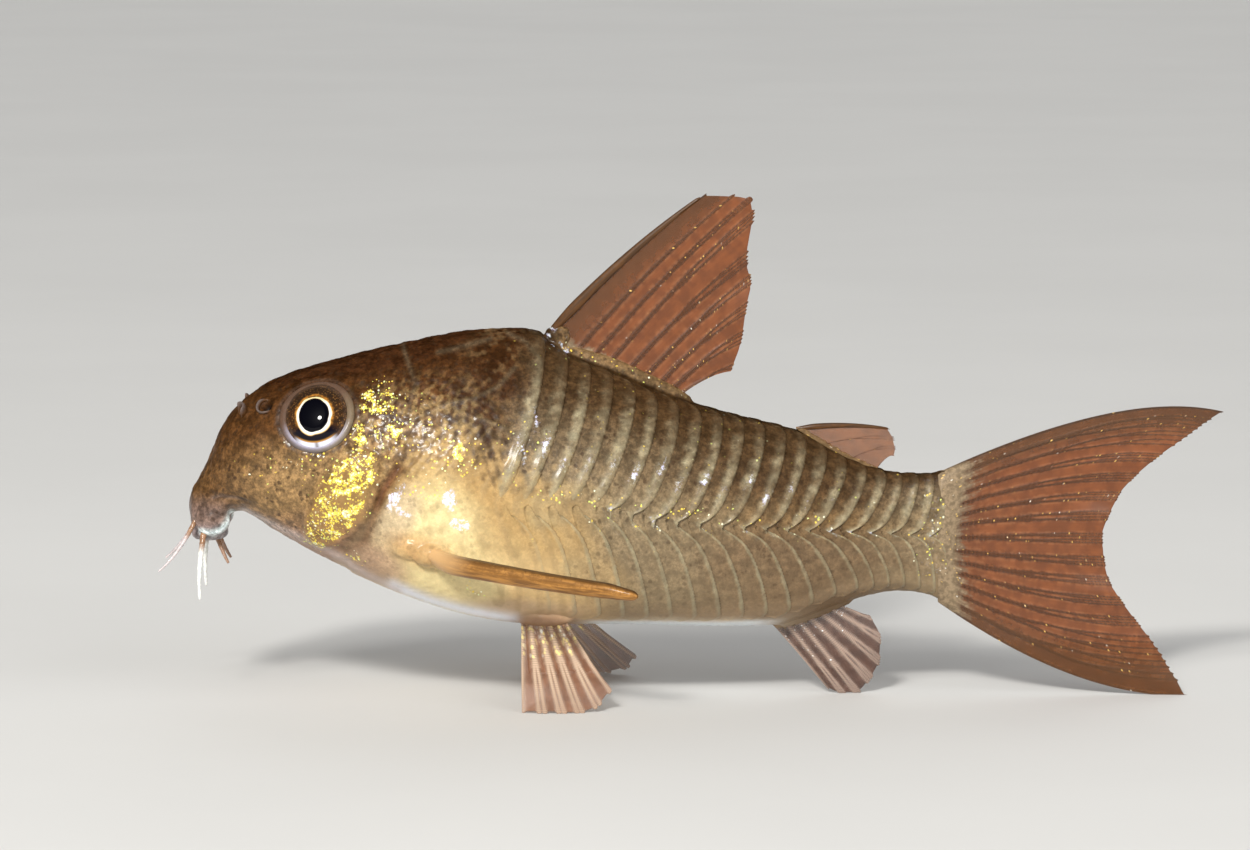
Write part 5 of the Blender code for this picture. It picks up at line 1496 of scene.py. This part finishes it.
@dataclass
class RayedFin:
    """A fin as one closed sheet: thin membrane, with each ray a ridge that forks towards the edge.

    The tables give, for each ray, the points of its root, its handle and its tip.
    """

    name: str
    nodes: tuple[str, ...]
    roots: Array
    handles: Array
    tips: Array
    columns: int = 16
    rows: int = 110
    membrane: float = 0.055
    ray_half: tuple = (0.30, 0.10)
    ray_wide: tuple = (0.44, 0.34)
    first_split: float = 0.42
    second_split: float = 0.70
    forks_at: tuple = (0.13, 0.06)
    dense: tuple = ()
    unforked: tuple = (0,)
    scallop: float = 0.035
    sway: float = 0.25
    flesh_reach: float = 0.07
    flesh_half: float = 0.55
    inward: Array | None = None
    inward_depth: float = 2.4
    inward_reach: float = 0.08
    ragged: float = 0.012
    margins: tuple = (0.0, 0.0)
    tint_reach: tuple = (0.35, 1.0)
    oval_root: bool = False
    spine: tuple | None = None
    teeth: int = 0
    bevel: float = 0.0
    slot: Slot = Slot.FINS
    sunk: float = 0.9

    def tables(self, place: Array) -> list[Array]:
        """Return root, handle and tip between the rays, at places counted in rays."""
        numbers = np.arange(len(self.roots))
        made = []
        for table in (self.roots, self.handles, self.tips):
            made.append(np.stack([smooth(list(zip(numbers, table[:, c])))(place) for c in range(3)], axis=-1))
        return made

    def forks(self, place: Array, out: Array) -> tuple[Array, Array]:
        """Return how far each ray's branches lie from its middle, in rays' spacing."""
        number = np.clip(np.round(place + 1e-6), 0, len(self.roots) - 1).astype(int)
        draw = np.random.default_rng(SEED + len(self.name))
        shift = draw.uniform(-0.05, 0.05, len(self.roots))
        whole = np.isin(number, [k % len(self.roots) for k in self.unforked])
        start = self.first_split + shift[number]
        wide = np.where(np.isin(number, self.dense), 1.9, 1.0) * ~whole
        first = self.forks_at[0] * wide * ease((out - start) / 0.26, 0, 1)
        second = self.forks_at[1] * wide * ease((out - start - self.second_split + self.first_split) / 0.24, 0, 1)
        return first, second

    def lay(self) -> tuple[Array, Array, dict[str, Array]]:
        """Return the middle of the sheet, its half thickness and its attributes."""
        count = len(self.roots)
        place = np.linspace(0, count - 1, (count - 1) * self.columns + 1)[:, None]
        out = np.linspace(0, 1, self.rows)[None, :] ** 0.92
        root, handle, tip = self.tables(place[:, 0])
        root = root - self.sunk * unit(handle - root)
        first, second = self.forks(place, out)
        gap = np.abs(np.abs(np.abs(place - np.round(place)) - first) - second)
        spacing = np.linalg.norm(np.gradient(bend(root[:, None], handle[:, None], tip[:, None], out), axis=0), axis=-1)
        spacing = np.maximum(spacing * self.columns, 0.4)
        wide = (self.ray_wide[0] + (self.ray_wide[1] - self.ray_wide[0]) * out) * (1 - 0.3 * (first > 0.1))
        width = np.clip(wide / spacing, 0.03, 0.34)
        on_ray = 1 - ease(gap / width, 0.25, 1.25)
        draw = np.random.default_rng(SEED + 3 * len(self.name))
        ragged = np.interp(place[:, 0], np.arange(count), draw.uniform(-self.ragged, self.ragged, count))
        edge = 1 - (self.scallop * (1 - on_ray[:, -1]) + np.abs(ragged))
        share = out * (1 - (1 - edge[:, None]) * out**3)
        sheet = bend(root[:, None], handle[:, None], tip[:, None], share) + self.dip(share)
        wave = np.sin(place * 1.9 + 2.2 * out) + 0.6 * np.sin(place * 3.1 - 4 * out)
        sheet = sheet + self.sway * (wave * out**1.5)[..., None] * self.side_way(sheet)
        ridge = self.ray_half[0] + (self.ray_half[1] - self.ray_half[0]) * out
        segment = 1 + 0.10 * np.sin(out * 2 * math.pi * 44)
        fringe = 1.0
        if self.oval_root:
            fringe = 0.66 + 0.34 * np.sqrt(np.clip(1 - (2 * place / (count - 1) - 1) ** 2, 0, 1))
        low, high = (self.flesh_reach * reach * fringe for reach in self.tint_reach)
        flesh = 1 - ease(share, low, high)
        half = self.membrane + (ridge - self.membrane) * on_ray * segment
        fullness = self.flesh_half * (1 - ease(share, 0.0, self.flesh_reach))
        if self.oval_root:
            middle = (count - 1) / 2
            fullness = fullness * (0.12 + 0.88 * np.sqrt(np.clip(1 - (place / middle - 1) ** 2, 0, 1)))
        half = np.maximum(half, fullness + 0.10 * on_ray * ease(share, 0.1, 0.3))
        half[:, -1] *= 0.5
        first_margin, last_margin = self.margins
        margin = (1 - ease(place, 0.2 * first_margin, first_margin + 0.01)) * (first_margin > 0)
        margin = margin + ease(place, count - 1.01 - last_margin, count - 1 - 0.2 * last_margin) * (last_margin > 0)
        values = {"ray_place": place + 0 * out, "ray_out": share, "first_fork": first, "second_fork": second,
                  "ray_width": width, "flesh": flesh * np.ones_like(share), "margin": margin * np.ones_like(share)}
        return sheet, half, values

    def dip(self, share: Array) -> Array:
        """Return how a ray turns into the flesh at its root."""
        if self.inward is None:
            return np.zeros((*share.shape, 3))
        depth = self.inward_depth * (1 - ease(share, 0.0, self.inward_reach))
        return depth[..., None] * self.inward

    def side_way(self, sheet: Array) -> Array:
        """Return the way across the sheet at each of its points."""
        return unit(np.cross(np.gradient(sheet, axis=0), np.gradient(sheet, axis=1)))

    def add_sheet(self, pile: MeshPile) -> None:
        """Add the sheet's two faces and its rim as one wrapped grid."""
        middle, half, values = self.lay()
        way = self.side_way(middle)
        front, back = middle + way * half[..., None], middle - way * half[..., None]
        grid = np.concatenate([front, back[:, ::-1]], axis=1)
        grid[..., 2] = np.maximum(grid[..., 2], 0)
        both = {name: np.concatenate([value, value[:, ::-1]], axis=1) for name, value in values.items()}
        pile.add_grid(grid, both, (0.01, 0.01, 0.99, 0.8), wrap=True, caps=True)

    def add_spine(self, pile: MeshPile) -> None:
        """Add the stout spine along the first ray, with teeth on its rear edge."""
        thick, thin, reach = self.spine
        root, handle, tip = self.tables(np.array([0.0]))
        start = root[0] - self.sunk * unit(handle[0] - root[0])
        share = np.linspace(0, reach, 120)
        line = bend(start, handle[0], tip[0], share) + self.dip(share)
        ahead = unit(np.gradient(line, axis=0))
        second = bend(root[0], handle[0], tip[0], share)
        neighbour = self.tables(np.array([1.0]))
        towards = bend(neighbour[0][0], neighbour[1][0], neighbour[2][0], share) - second
        rear = unit(towards - np.sum(towards * ahead, axis=1, keepdims=True) * ahead)
        side = np.cross(ahead, rear)
        radius = (thick + (thin - thick) * (share / reach) ** 1.3) * (0.55 + 0.45 * ease(share, 0.0, 0.20))
        bevel = self.bevel * ease(share, reach - 0.15, reach)
        line[:, 2] -= 0.8 * bevel * radius
        radius = radius * (1 - bevel)
        radius[-4:] *= np.sqrt(np.clip(1 - (np.linspace(0.2, 0.93, 4)) ** 2, 0, 1))
        turn = np.linspace(0, 2 * math.pi, 28, endpoint=False)[None, :]
        groove = 1 - 0.03 * np.cos(6 * turn)
        grid = (line[:, None] + (radius[:, None] * 0.95 * np.cos(turn) * groove)[..., None] * rear[:, None]
                + (radius[:, None] * 0.85 * np.sin(turn) * groove)[..., None] * side[:, None])
        grid[..., 2] = np.maximum(grid[..., 2], 0)
        upward = 0.5 + 0.5 * (grid[..., 2] - line[:, None, 2]) / radius[:, None]
        self.add_bone(pile, grid, (0.01, 0.82, 0.6, 0.9), upward, share[:, None])
        for k in range(self.teeth):
            at = int(20 + 92 * k / self.teeth)
            base = line[at] + 0.7 * radius[at] * rear[at]
            point = base + (0.42 * rear[at] - 0.42 * ahead[at]) * (0.5 + radius[at] / thick)
            lengths = np.linspace(0, 1, 5)[:, None]
            small = (0.17 * (1 - lengths) + 0.012)[..., None]
            ring = np.cos(turn[:, ::4])[..., None] * ahead[at] + np.sin(turn[:, ::4])[..., None] * side[at]
            core = (base + (point - base) * lengths)[:, None]
            self.add_bone(pile, core + small * ring, (0.61, 0.82, 0.7, 0.9))

    def add_bone(self, pile: MeshPile, grid: Array, area: Sequence[float], upward: Array | float = 0.4,
                 share: Array | float = 0.5) -> None:
        """Add a tube in the spine's material, which is darker where it faces up and striped lengthways."""
        none = np.zeros(grid.shape[:2])
        turn = np.linspace(0, 2 * math.pi, grid.shape[1], endpoint=False)
        values = {"ray_place": none + np.cos(turn), "second_fork": none + np.sin(turn), "first_fork": none + share,
                  "ray_out": none + upward, "ray_width": none + 0.1, "flesh": none + 1, "margin": none}
        pile.add_grid(grid, values, area, wrap=True, caps=True, slot=1)

    def build(self, skin: bpy.types.Material, bone: bpy.types.Material) -> None:
        """Make the fin in the place of its nodes."""
        pile = MeshPile()
        self.add_sheet(pile)
        if self.spine:
            self.add_spine(pile)
        dress(pile.build(self.name, [skin, bone]), self.nodes)


def handled(roots: Array, tips: Array, bows: Array, lean: float = 0.5) -> Array:
    """Return the handles of rays that bow away from straight, most at the lean."""
    return roots + lean * (tips - roots) + bows


@dataclass
class FinSet:
    """All the fins, laid along the same rays as the solids."""

    shape: BodyShape
    gap: float = 0.0003 / PERCENT
    dorsal_roots: tuple = (47.9, 51.6, 53.8, 56.0, 58.4, 60.6, 62.6, 64.3, 65.8)
    dorsal_tips: tuple = ((69.1, 67.2), (73.0, 67.2), (75.1, 66.6), (75.4, 64.3), (74.7, 58.6), (75.0, 55.7),
                          (74.5, 51.9), (73.8, 47.9), (72.3, 43.2))
    anal_roots: tuple = (78.3, 79.9, 81.4, 82.9, 84.4, 85.9, 87.3)
    anal_tips: tuple = ((85.2, 0.5), (87.2, -0.25), (89.2, -0.2), (91.0, 1.6), (92.2, 4.2), (92.3, 7.3),
                        (90.8, 10.4))
    adipose_roots: tuple = (81.7, 85.2, 88.8, 92.0)
    adipose_tips: tuple = ((93.4, 35.5), (94.0, 34.2), (94.1, 33.0), (93.9, 31.9))
    upper_edge: tuple = ((137.9, 37.6), (133.5, 34.6), (127.5, 30.2), (123.6, 25.8), (121.9, 21.3))
    lower_edge: tuple = ((133.2, -0.2), (129.5, 5.8), (125.5, 11.2), (122.6, 15.8), (121.8, 20.4))
    lobe_rays: int = 8
    left_pelvic_tips: tuple = ((44.5, 16.2, -0.2), (47.2, 16.6, -0.2), (49.8, 16.8, -0.2), (52.2, 16.4, -0.2),
                               (54.6, 15.4, 0.6), (56.4, 13.6, 2.4))
    right_pelvic_tips: tuple = ((44.9, 15.8, -0.2), (48.6, 16.4, -0.2), (52.2, 16.7, -0.2), (55.5, 16.4, -0.2),
                                (58.4, 15.0, 0.8), (59.8, 12.8, 3.0))
    pectoral_tips: tuple = ((59.8, 27.0, 17.3), (58.4, 25.6, 17.3), (56.6, 24.0, 17.4), (54.4, 22.4, 17.5),
                            (51.8, 20.9, 17.7), (49.0, 19.6, 17.9), (46.0, 18.6, 18.2), (43.0, 17.8, 18.6))

    def dorsal(self) -> RayedFin:
        """Return the tall fin on the back."""
        stations = np.array(self.dorsal_roots)
        share = np.linspace(0, 1, len(stations))
        roots = np.stack([stations, 0 * share, self.shape.back(stations) + self.gap + 0.2], axis=1)
        tips = np.stack([np.array(self.dorsal_tips)[:, 0], 0.6 * share, np.array(self.dorsal_tips)[:, 1]], axis=1)
        bows = np.stack([-0.6 * (1 - share), 0.7 * np.sin(math.pi * share), 1.6 - 0.4 * share], axis=1)
        return RayedFin("dorsal", ("dorsal_fin",), roots, handled(roots, tips, bows), tips,
                        spine=(0.80, 0.26, 0.95), teeth=14, flesh_reach=0.08, sway=0.22, scallop=0.018,
                        ragged=0.020, unforked=(0, 1), ray_wide=(0.42, 0.30), margins=(1.3, 0.0))

    def adipose(self) -> RayedFin:
        """Return the small fin behind the dorsal one."""
        stations = np.array(self.adipose_roots)
        none = 0 * stations
        roots = np.stack([stations, none, self.shape.back(stations) + self.gap + 0.15], axis=1)
        tips = np.stack([np.array(self.adipose_tips)[:, 0], none, np.array(self.adipose_tips)[:, 1]], axis=1)
        handles = handled(roots, tips, np.stack([none, none, none + 0.9], axis=1))
        return RayedFin("adipose", ("adipose_fin",), roots, handles, tips, rows=70, spine=(0.46, 0.18, 0.97),
                        ray_half=(0.10, 0.06), ray_wide=(0.10, 0.06), sway=0.12, flesh_reach=0.12, unforked=(0, 3))

    def anal(self) -> RayedFin:
        """Return the fin behind the vent."""
        stations = np.array(self.anal_roots)
        none = 0 * stations
        roots = np.stack([stations, none, self.shape.belly(stations) - self.gap - 0.1], axis=1)
        tips = np.stack([np.array(self.anal_tips)[:, 0], none, np.array(self.anal_tips)[:, 1]], axis=1)
        handles = handled(roots, tips, np.stack([none + 0.4, none, none - 0.3], axis=1))
        return RayedFin("anal", ("anal_fin",), roots, handles, tips, rows=80, sway=0.2, flesh_reach=0.12,
                        unforked=(0,))

    def caudal(self) -> RayedFin:
        """Return the forked tail fin as one sheet."""
        count = self.lobe_rays
        roots, handles, tips = [], [], []
        lobes = (((30.4, 21.35), self.upper_edge, (3.0, 6.6), 1), ((11.2, 20.65), self.lower_edge, (-1.0, -5.4), -1))
        for heights, edge, bow, way in lobes:
            share = np.linspace(0, 1, count)
            places = np.linspace(0, 1, len(edge))
            station, height = [smooth(list(zip(places, [p[c] for p in edge])))(share) for c in (0, 1)]
            root = np.stack([0 * share + 101.35, 0 * share, heights[0] + (heights[1] - heights[0]) * share], axis=1)
            tip = np.stack([station, way * 1.6 * (1 - share), height], axis=1)
            bows = np.stack([bow[0] * (1 - share), 0.8 + 0 * share, bow[1] * (1 - share) ** 1.2], axis=1)
            handle = handled(root, tip, bows, 0.55)
            for table, rays in ((roots, root), (handles, handle), (tips, tip)):
                table.append(rays if way > 0 else rays[::-1])
        joined = [np.concatenate([upper[:-1], (upper[-1:] + lower[:1]) / 2, lower[1:]])
                  for upper, lower in (roots, handles, tips)]
        return RayedFin("caudal", ("tail_fin_upper", "tail_fin_lower"), *joined, rows=140, sunk=1.9,
                        flesh_reach=0.27, flesh_half=2.3, sway=0.3, unforked=(0, -1), dense=(1, 2, 12, 13),
                        ray_wide=(0.44, 0.28), margins=(2.6, 2.6), tint_reach=(0.22, 0.80), oval_root=True,
                        scallop=0.010, ragged=0.007,
                        first_split=0.30, second_split=0.58, ray_half=(0.36, 0.10))

    def pelvic(self, side: Side) -> RayedFin:
        """Return one of the paired fins under the belly."""
        tips = np.array(self.left_pelvic_tips if side is Side.LEFT else self.right_pelvic_tips)
        tips[:, 1] *= side.value
        stations = np.linspace(44.3, 50.3, len(tips))
        angle = side.value * math.radians(152)
        roots = self.shape.surface(stations, angle) + (self.gap + 0.1) * self.shape.outward(stations, angle)
        bows = np.broadcast_to(np.array([0, side.value * 1.2, -0.4]), tips.shape)
        name = side.name.lower()
        return RayedFin("pelvic_" + name, ("pelvic_fin_" + name,), roots, handled(roots, tips, bows), tips,
                        rows=90, sway=0.12, flesh_reach=0.14, flesh_half=0.5, unforked=(0,), first_split=0.3,
                        second_split=0.8, forks_at=(0.14, 0.05), ray_wide=(0.50, 0.46))

    def pectoral(self, side: Side) -> RayedFin:
        """Return one of the paired fins behind the gills, with its stout spine."""
        tips = np.array(self.pectoral_tips)
        tips[:, 1] *= side.value
        share = np.linspace(0, 1, len(tips))
        roots = np.array([self.shape.skin_point(30.8 + 2.8 * s, 20.7 - 1.1 * s, side, self.gap + 0.7)[0]
                          for s in share])
        bows = np.broadcast_to(np.array([0, side.value * 1.4, -0.5]), tips.shape)
        name = side.name.lower()
        return RayedFin("pectoral_" + name, ("pectoral_fin_" + name,), roots, handled(roots, tips, bows), tips,
                        columns=12, rows=100, sunk=0.6, sway=0.05, scallop=0.012, ragged=0.004,
                        flesh_reach=0.10, flesh_half=0.8, unforked=(0,),
                        inward=-self.shape.skin_point(32.2, 20.1, side)[1], inward_reach=0.20, inward_depth=2.8,
                        spine=(1.62, 1.10, 0.995), teeth=16, bevel=0.28,
                        slot=Slot.PECTORAL_FINS)

    def build(self) -> None:
        """Make every fin."""
        clear = FinSkin("fin_skin", membrane=(0.208, 0.061, 0.016), flesh=(0.245, 0.178, 0.108)).make()
        thin = FinSkin("adipose_skin", membrane=(0.25, 0.092, 0.030), clearness=0.62).make()
        grey = FinSkin("anal_skin", membrane=(0.105, 0.047, 0.029), ray=(0.40, 0.29, 0.23), halo=(0.24, 0.14, 0.10),
                       flesh=(0.24, 0.17, 0.105), glint=(0.93, 0.97, 1.0), clearness=0.62, glints=0.8,
                       glint_band=(0.02, 0.08, 0.25, 0.60), glint_grid=(4.0, 34.0)).make()
        pale = FinSkin("pelvic_skin", membrane=(0.28, 0.125, 0.066), ray=(0.58, 0.42, 0.30), halo=(0.36, 0.20, 0.13),
                       flesh=(0.42, 0.25, 0.15), glint=(1.0, 0.82, 0.36), clearness=0.50, glints=2.2,
                       glint_band=(0.03, 0.12, 0.24, 0.50), glint_grid=(3.0, 22.0), glint_size=(0.34, 0.60)).make()
        amber = FinSkin("pectoral_skin", membrane=(0.34, 0.17, 0.048), ray=(0.17, 0.075, 0.022),
                        flesh=(0.40, 0.20, 0.06), clearness=0.9).make()
        bone = SpineBone("spine_bone", colour=(0.135, 0.058, 0.019), gloss=0.05).make()
        amber_bone = SpineBone("pectoral_bone", colour=(0.50, 0.235, 0.055), dark=(0.20, 0.090, 0.024),
                               edge=(0.035, 0.017, 0.008),
                               root=(0.60, 0.37, 0.17), root_reach=(0.10, 0.30)).make()
        self.adipose().build(thin, bone)
        self.anal().build(grey, bone)
        for fin in (self.dorsal(), self.caudal()):
            fin.build(clear, bone)
        for side in Side:
            self.pelvic(side).build(pale, bone)
            self.pectoral(side).build(amber, amber_bone)


# Feelers


@dataclass
class Barbels:
    """The three pairs of feelers round the mouth, each a tapered tube with small bumps."""

    lobe_place: tuple = (3.3, 4.1, 23.9)
    lobe_radii: tuple = (2.4, 1.5, 2.2)
    rows: int = 120
    columns: int = 20

    def lobe_point(self, way: Sequence[float], lift: float) -> Array:
        """Return the point above the right mouth corner's lobe, seen that way from its middle."""
        way = unit(np.array(way, float))
        reach = 1 / np.linalg.norm(way / np.array(self.lobe_radii))
        return np.array(self.lobe_place) + way * (reach + lift)

    def build(self, material: bpy.types.Material) -> None:
        """Make all six feelers in the places of their nodes."""
        gap = 0.0003 / PERCENT
        pearl, brown = (0.88, 0.90, 0.86), (0.34, 0.20, 0.13)
        feelers = (
            ("rostral", self.lobe_point((-0.93, 0.1, -0.36), gap), (0.3, 0.2, -0.9), (-3.75, 6.4, 17.3),
             (0.33, 0.12), (0.62, 0.55, 0.55)),
            ("maxillary", self.lobe_point((-0.45, 0.1, -0.88), gap), (-0.5, 0.5, 0), (1.7, 6.4, 13.5),
             (0.44, 0.17), pearl),
            ("chin", np.array((4.1, 1.8, 20.3)), (0, 0, -0.3), (5.3, 2.7, 17.9), (0.34, 0.16), brown))
        for side in Side:
            for kind, root, bow, tip, radii, colour in feelers:
                mirror = np.array([1, side.value, 1])
                pile = MeshPile()
                start, end = np.array(root) * mirror, np.array(tip) * mirror
                handle = start + 0.5 * (end - start) + np.array(bow) * mirror
                start = start - 1.1 * unit(handle - start)
                self.tube(pile, start, handle, end, radii, colour)
                name = "_" + side.name.lower()
                dress(pile.build("feeler_" + kind + name, [material]), ("barbel_" + kind + name,))

    def tube(self, pile: MeshPile, start: Array, handle: Array, end: Array, radii: Sequence[float],
             colour: Colour) -> None:
        """Add one feeler from its root to its tip."""
        share = np.linspace(0, 1, self.rows)
        line = bend(start, handle, end, share)
        ahead = unit(np.gradient(line, axis=0))
        side = unit(np.cross(ahead, (0.0, 1.0, 0.2)))
        other = np.cross(ahead, side)
        turn = np.linspace(0, 2 * math.pi, self.columns, endpoint=False)[None, :]
        radius = (radii[0] + (radii[1] - radii[0]) * share**0.9)[:, None]
        radius = radius * np.sqrt(np.clip(1 - ((share - 0.97) / 0.03).clip(0, 0.985) ** 2, 0, 1))[:, None]
        lumps = 1 + 0.09 * np.sin(3 * turn + 40 * share[:, None]) * np.sin(70 * share[:, None])
        grid = line[:, None] + (radius * lumps)[..., None] * (
            np.cos(turn)[..., None] * side[:, None] + np.sin(turn)[..., None] * other[:, None])
        root_share = (1 - ease(share, 0.16, 0.34))[:, None] * np.ones_like(turn)
        tint = blend(np.broadcast_to(colour, (*grid.shape[:2], 3)), PALETTE.throat, root_share)
        pile.add_grid(grid, {"tint": tint}, (0.01, 0.01, 0.99, 0.99), wrap=True, caps=True)


# The studio


@dataclass
class Studio:
    """The camera at the photograph's angle, soft lamps and a pale floor."""

    target: tuple = (-0.00459, 0.0, 0.01843)
    distance: float = 0.42
    elevation: float = math.radians(7)
    lens: float = 177.9
    sensor: float = 36.0
    lamps: tuple = (
        ("key", (-0.14, -0.46, 0.34), 0.08, 2.4, (1.0, 0.975, 0.93)),)
    suns: tuple = (
        ("front_sun", (-0.35, -0.75, 0.66), 1.42, 16, (1.0, 0.985, 0.95)),
        ("side_sun", (0.70, -0.60, 0.45), 0.75, 50, (0.97, 0.98, 1.0)),
        ("back_sun", (0.10, 0.80, 0.60), 0.60, 50, (1.0, 0.98, 0.95)))
    sky: Colour = (0.90, 0.91, 0.92)
    sky_strength: float = 0.42

    def build(self) -> None:
        """Set up the camera, the lamps, the sky and the floor."""
        view = Vector((0, math.cos(self.elevation), -math.sin(self.elevation)))
        data = bpy.data.cameras.new("camera")
        data.sensor_width, data.lens = self.sensor, self.lens
        data.clip_start, data.clip_end = 0.01, 50
        camera = bpy.data.objects.new("camera", data)
        camera.location = Vector(self.target) - view * self.distance
        camera.rotation_euler = view.to_track_quat("-Z", "Y").to_euler()
        bpy.context.scene.collection.objects.link(camera)
        bpy.context.scene.camera = camera
        for name, place, size, power, colour in self.lamps:
            lamp = bpy.data.lights.new(name, "AREA")
            lamp.shape = "DISK"
            lamp.size, lamp.energy, lamp.color = size, power, colour
            self.hang(lamp, place)
        for name, place, power, angle, colour in self.suns:
            sun = bpy.data.lights.new(name, "SUN")
            sun.energy, sun.angle, sun.color = power, math.radians(angle), colour
            self.hang(sun, place).visible_glossy = False
        bpy.context.scene.view_settings.view_transform = "Standard"
        world = bpy.data.worlds.new("studio_sky")
        world.use_nodes = True
        world.node_tree.nodes["Background"].inputs["Color"].default_value = (*self.sky, 1)
        world.node_tree.nodes["Background"].inputs["Strength"].default_value = self.sky_strength
        world.cycles_visibility.glossy = False
        bpy.context.scene.world = world
        self.floor()

    def hang(self, lamp: bpy.types.Light, place: Sequence[float]) -> bpy.types.Object:
        """Put a lamp in its place, turned towards the fish, and return it."""
        obj = bpy.data.objects.new(lamp.name, lamp)
        obj.location = place
        obj.rotation_euler = (Vector(self.target) - Vector(place)).to_track_quat("-Z", "Y").to_euler()
        bpy.context.scene.collection.objects.link(obj)
        return obj

    def floor(self) -> None:
        """Lay the pale floor just under the fins."""
        half, level = 4.0, -0.00002
        mesh = bpy.data.meshes.new("floor")
        mesh.from_pydata([(-half, -half, level), (half, -half, level), (half, half, level), (-half, half, level)],
                         [], [(0, 1, 2, 3)])
        mesh.materials.append(StudioPaper().make())
        obj = bpy.data.objects.new("floor", mesh)
        bpy.context.scene.collection.objects.link(obj)


def main() -> None:
    """Dress the fish and set up the studio."""
    logging.basicConfig(level=logging.INFO, format="%(name)s: %(message)s")
    shape = BodyShape()
    markings = Markings(shape)
    wet_skin = WetSkin().make()
    Skin(shape, markings).build(wet_skin)
    PlateRows(shape, markings).build(wet_skin)
    glaze = EyeGlaze().make()
    for side in Side:
        Eye(shape, side).build(glaze)
    FinSet(shape).build()
    Barbels().build(BarbelSkin().make())
    Studio().build()


if __name__ == "__main__":
    main()
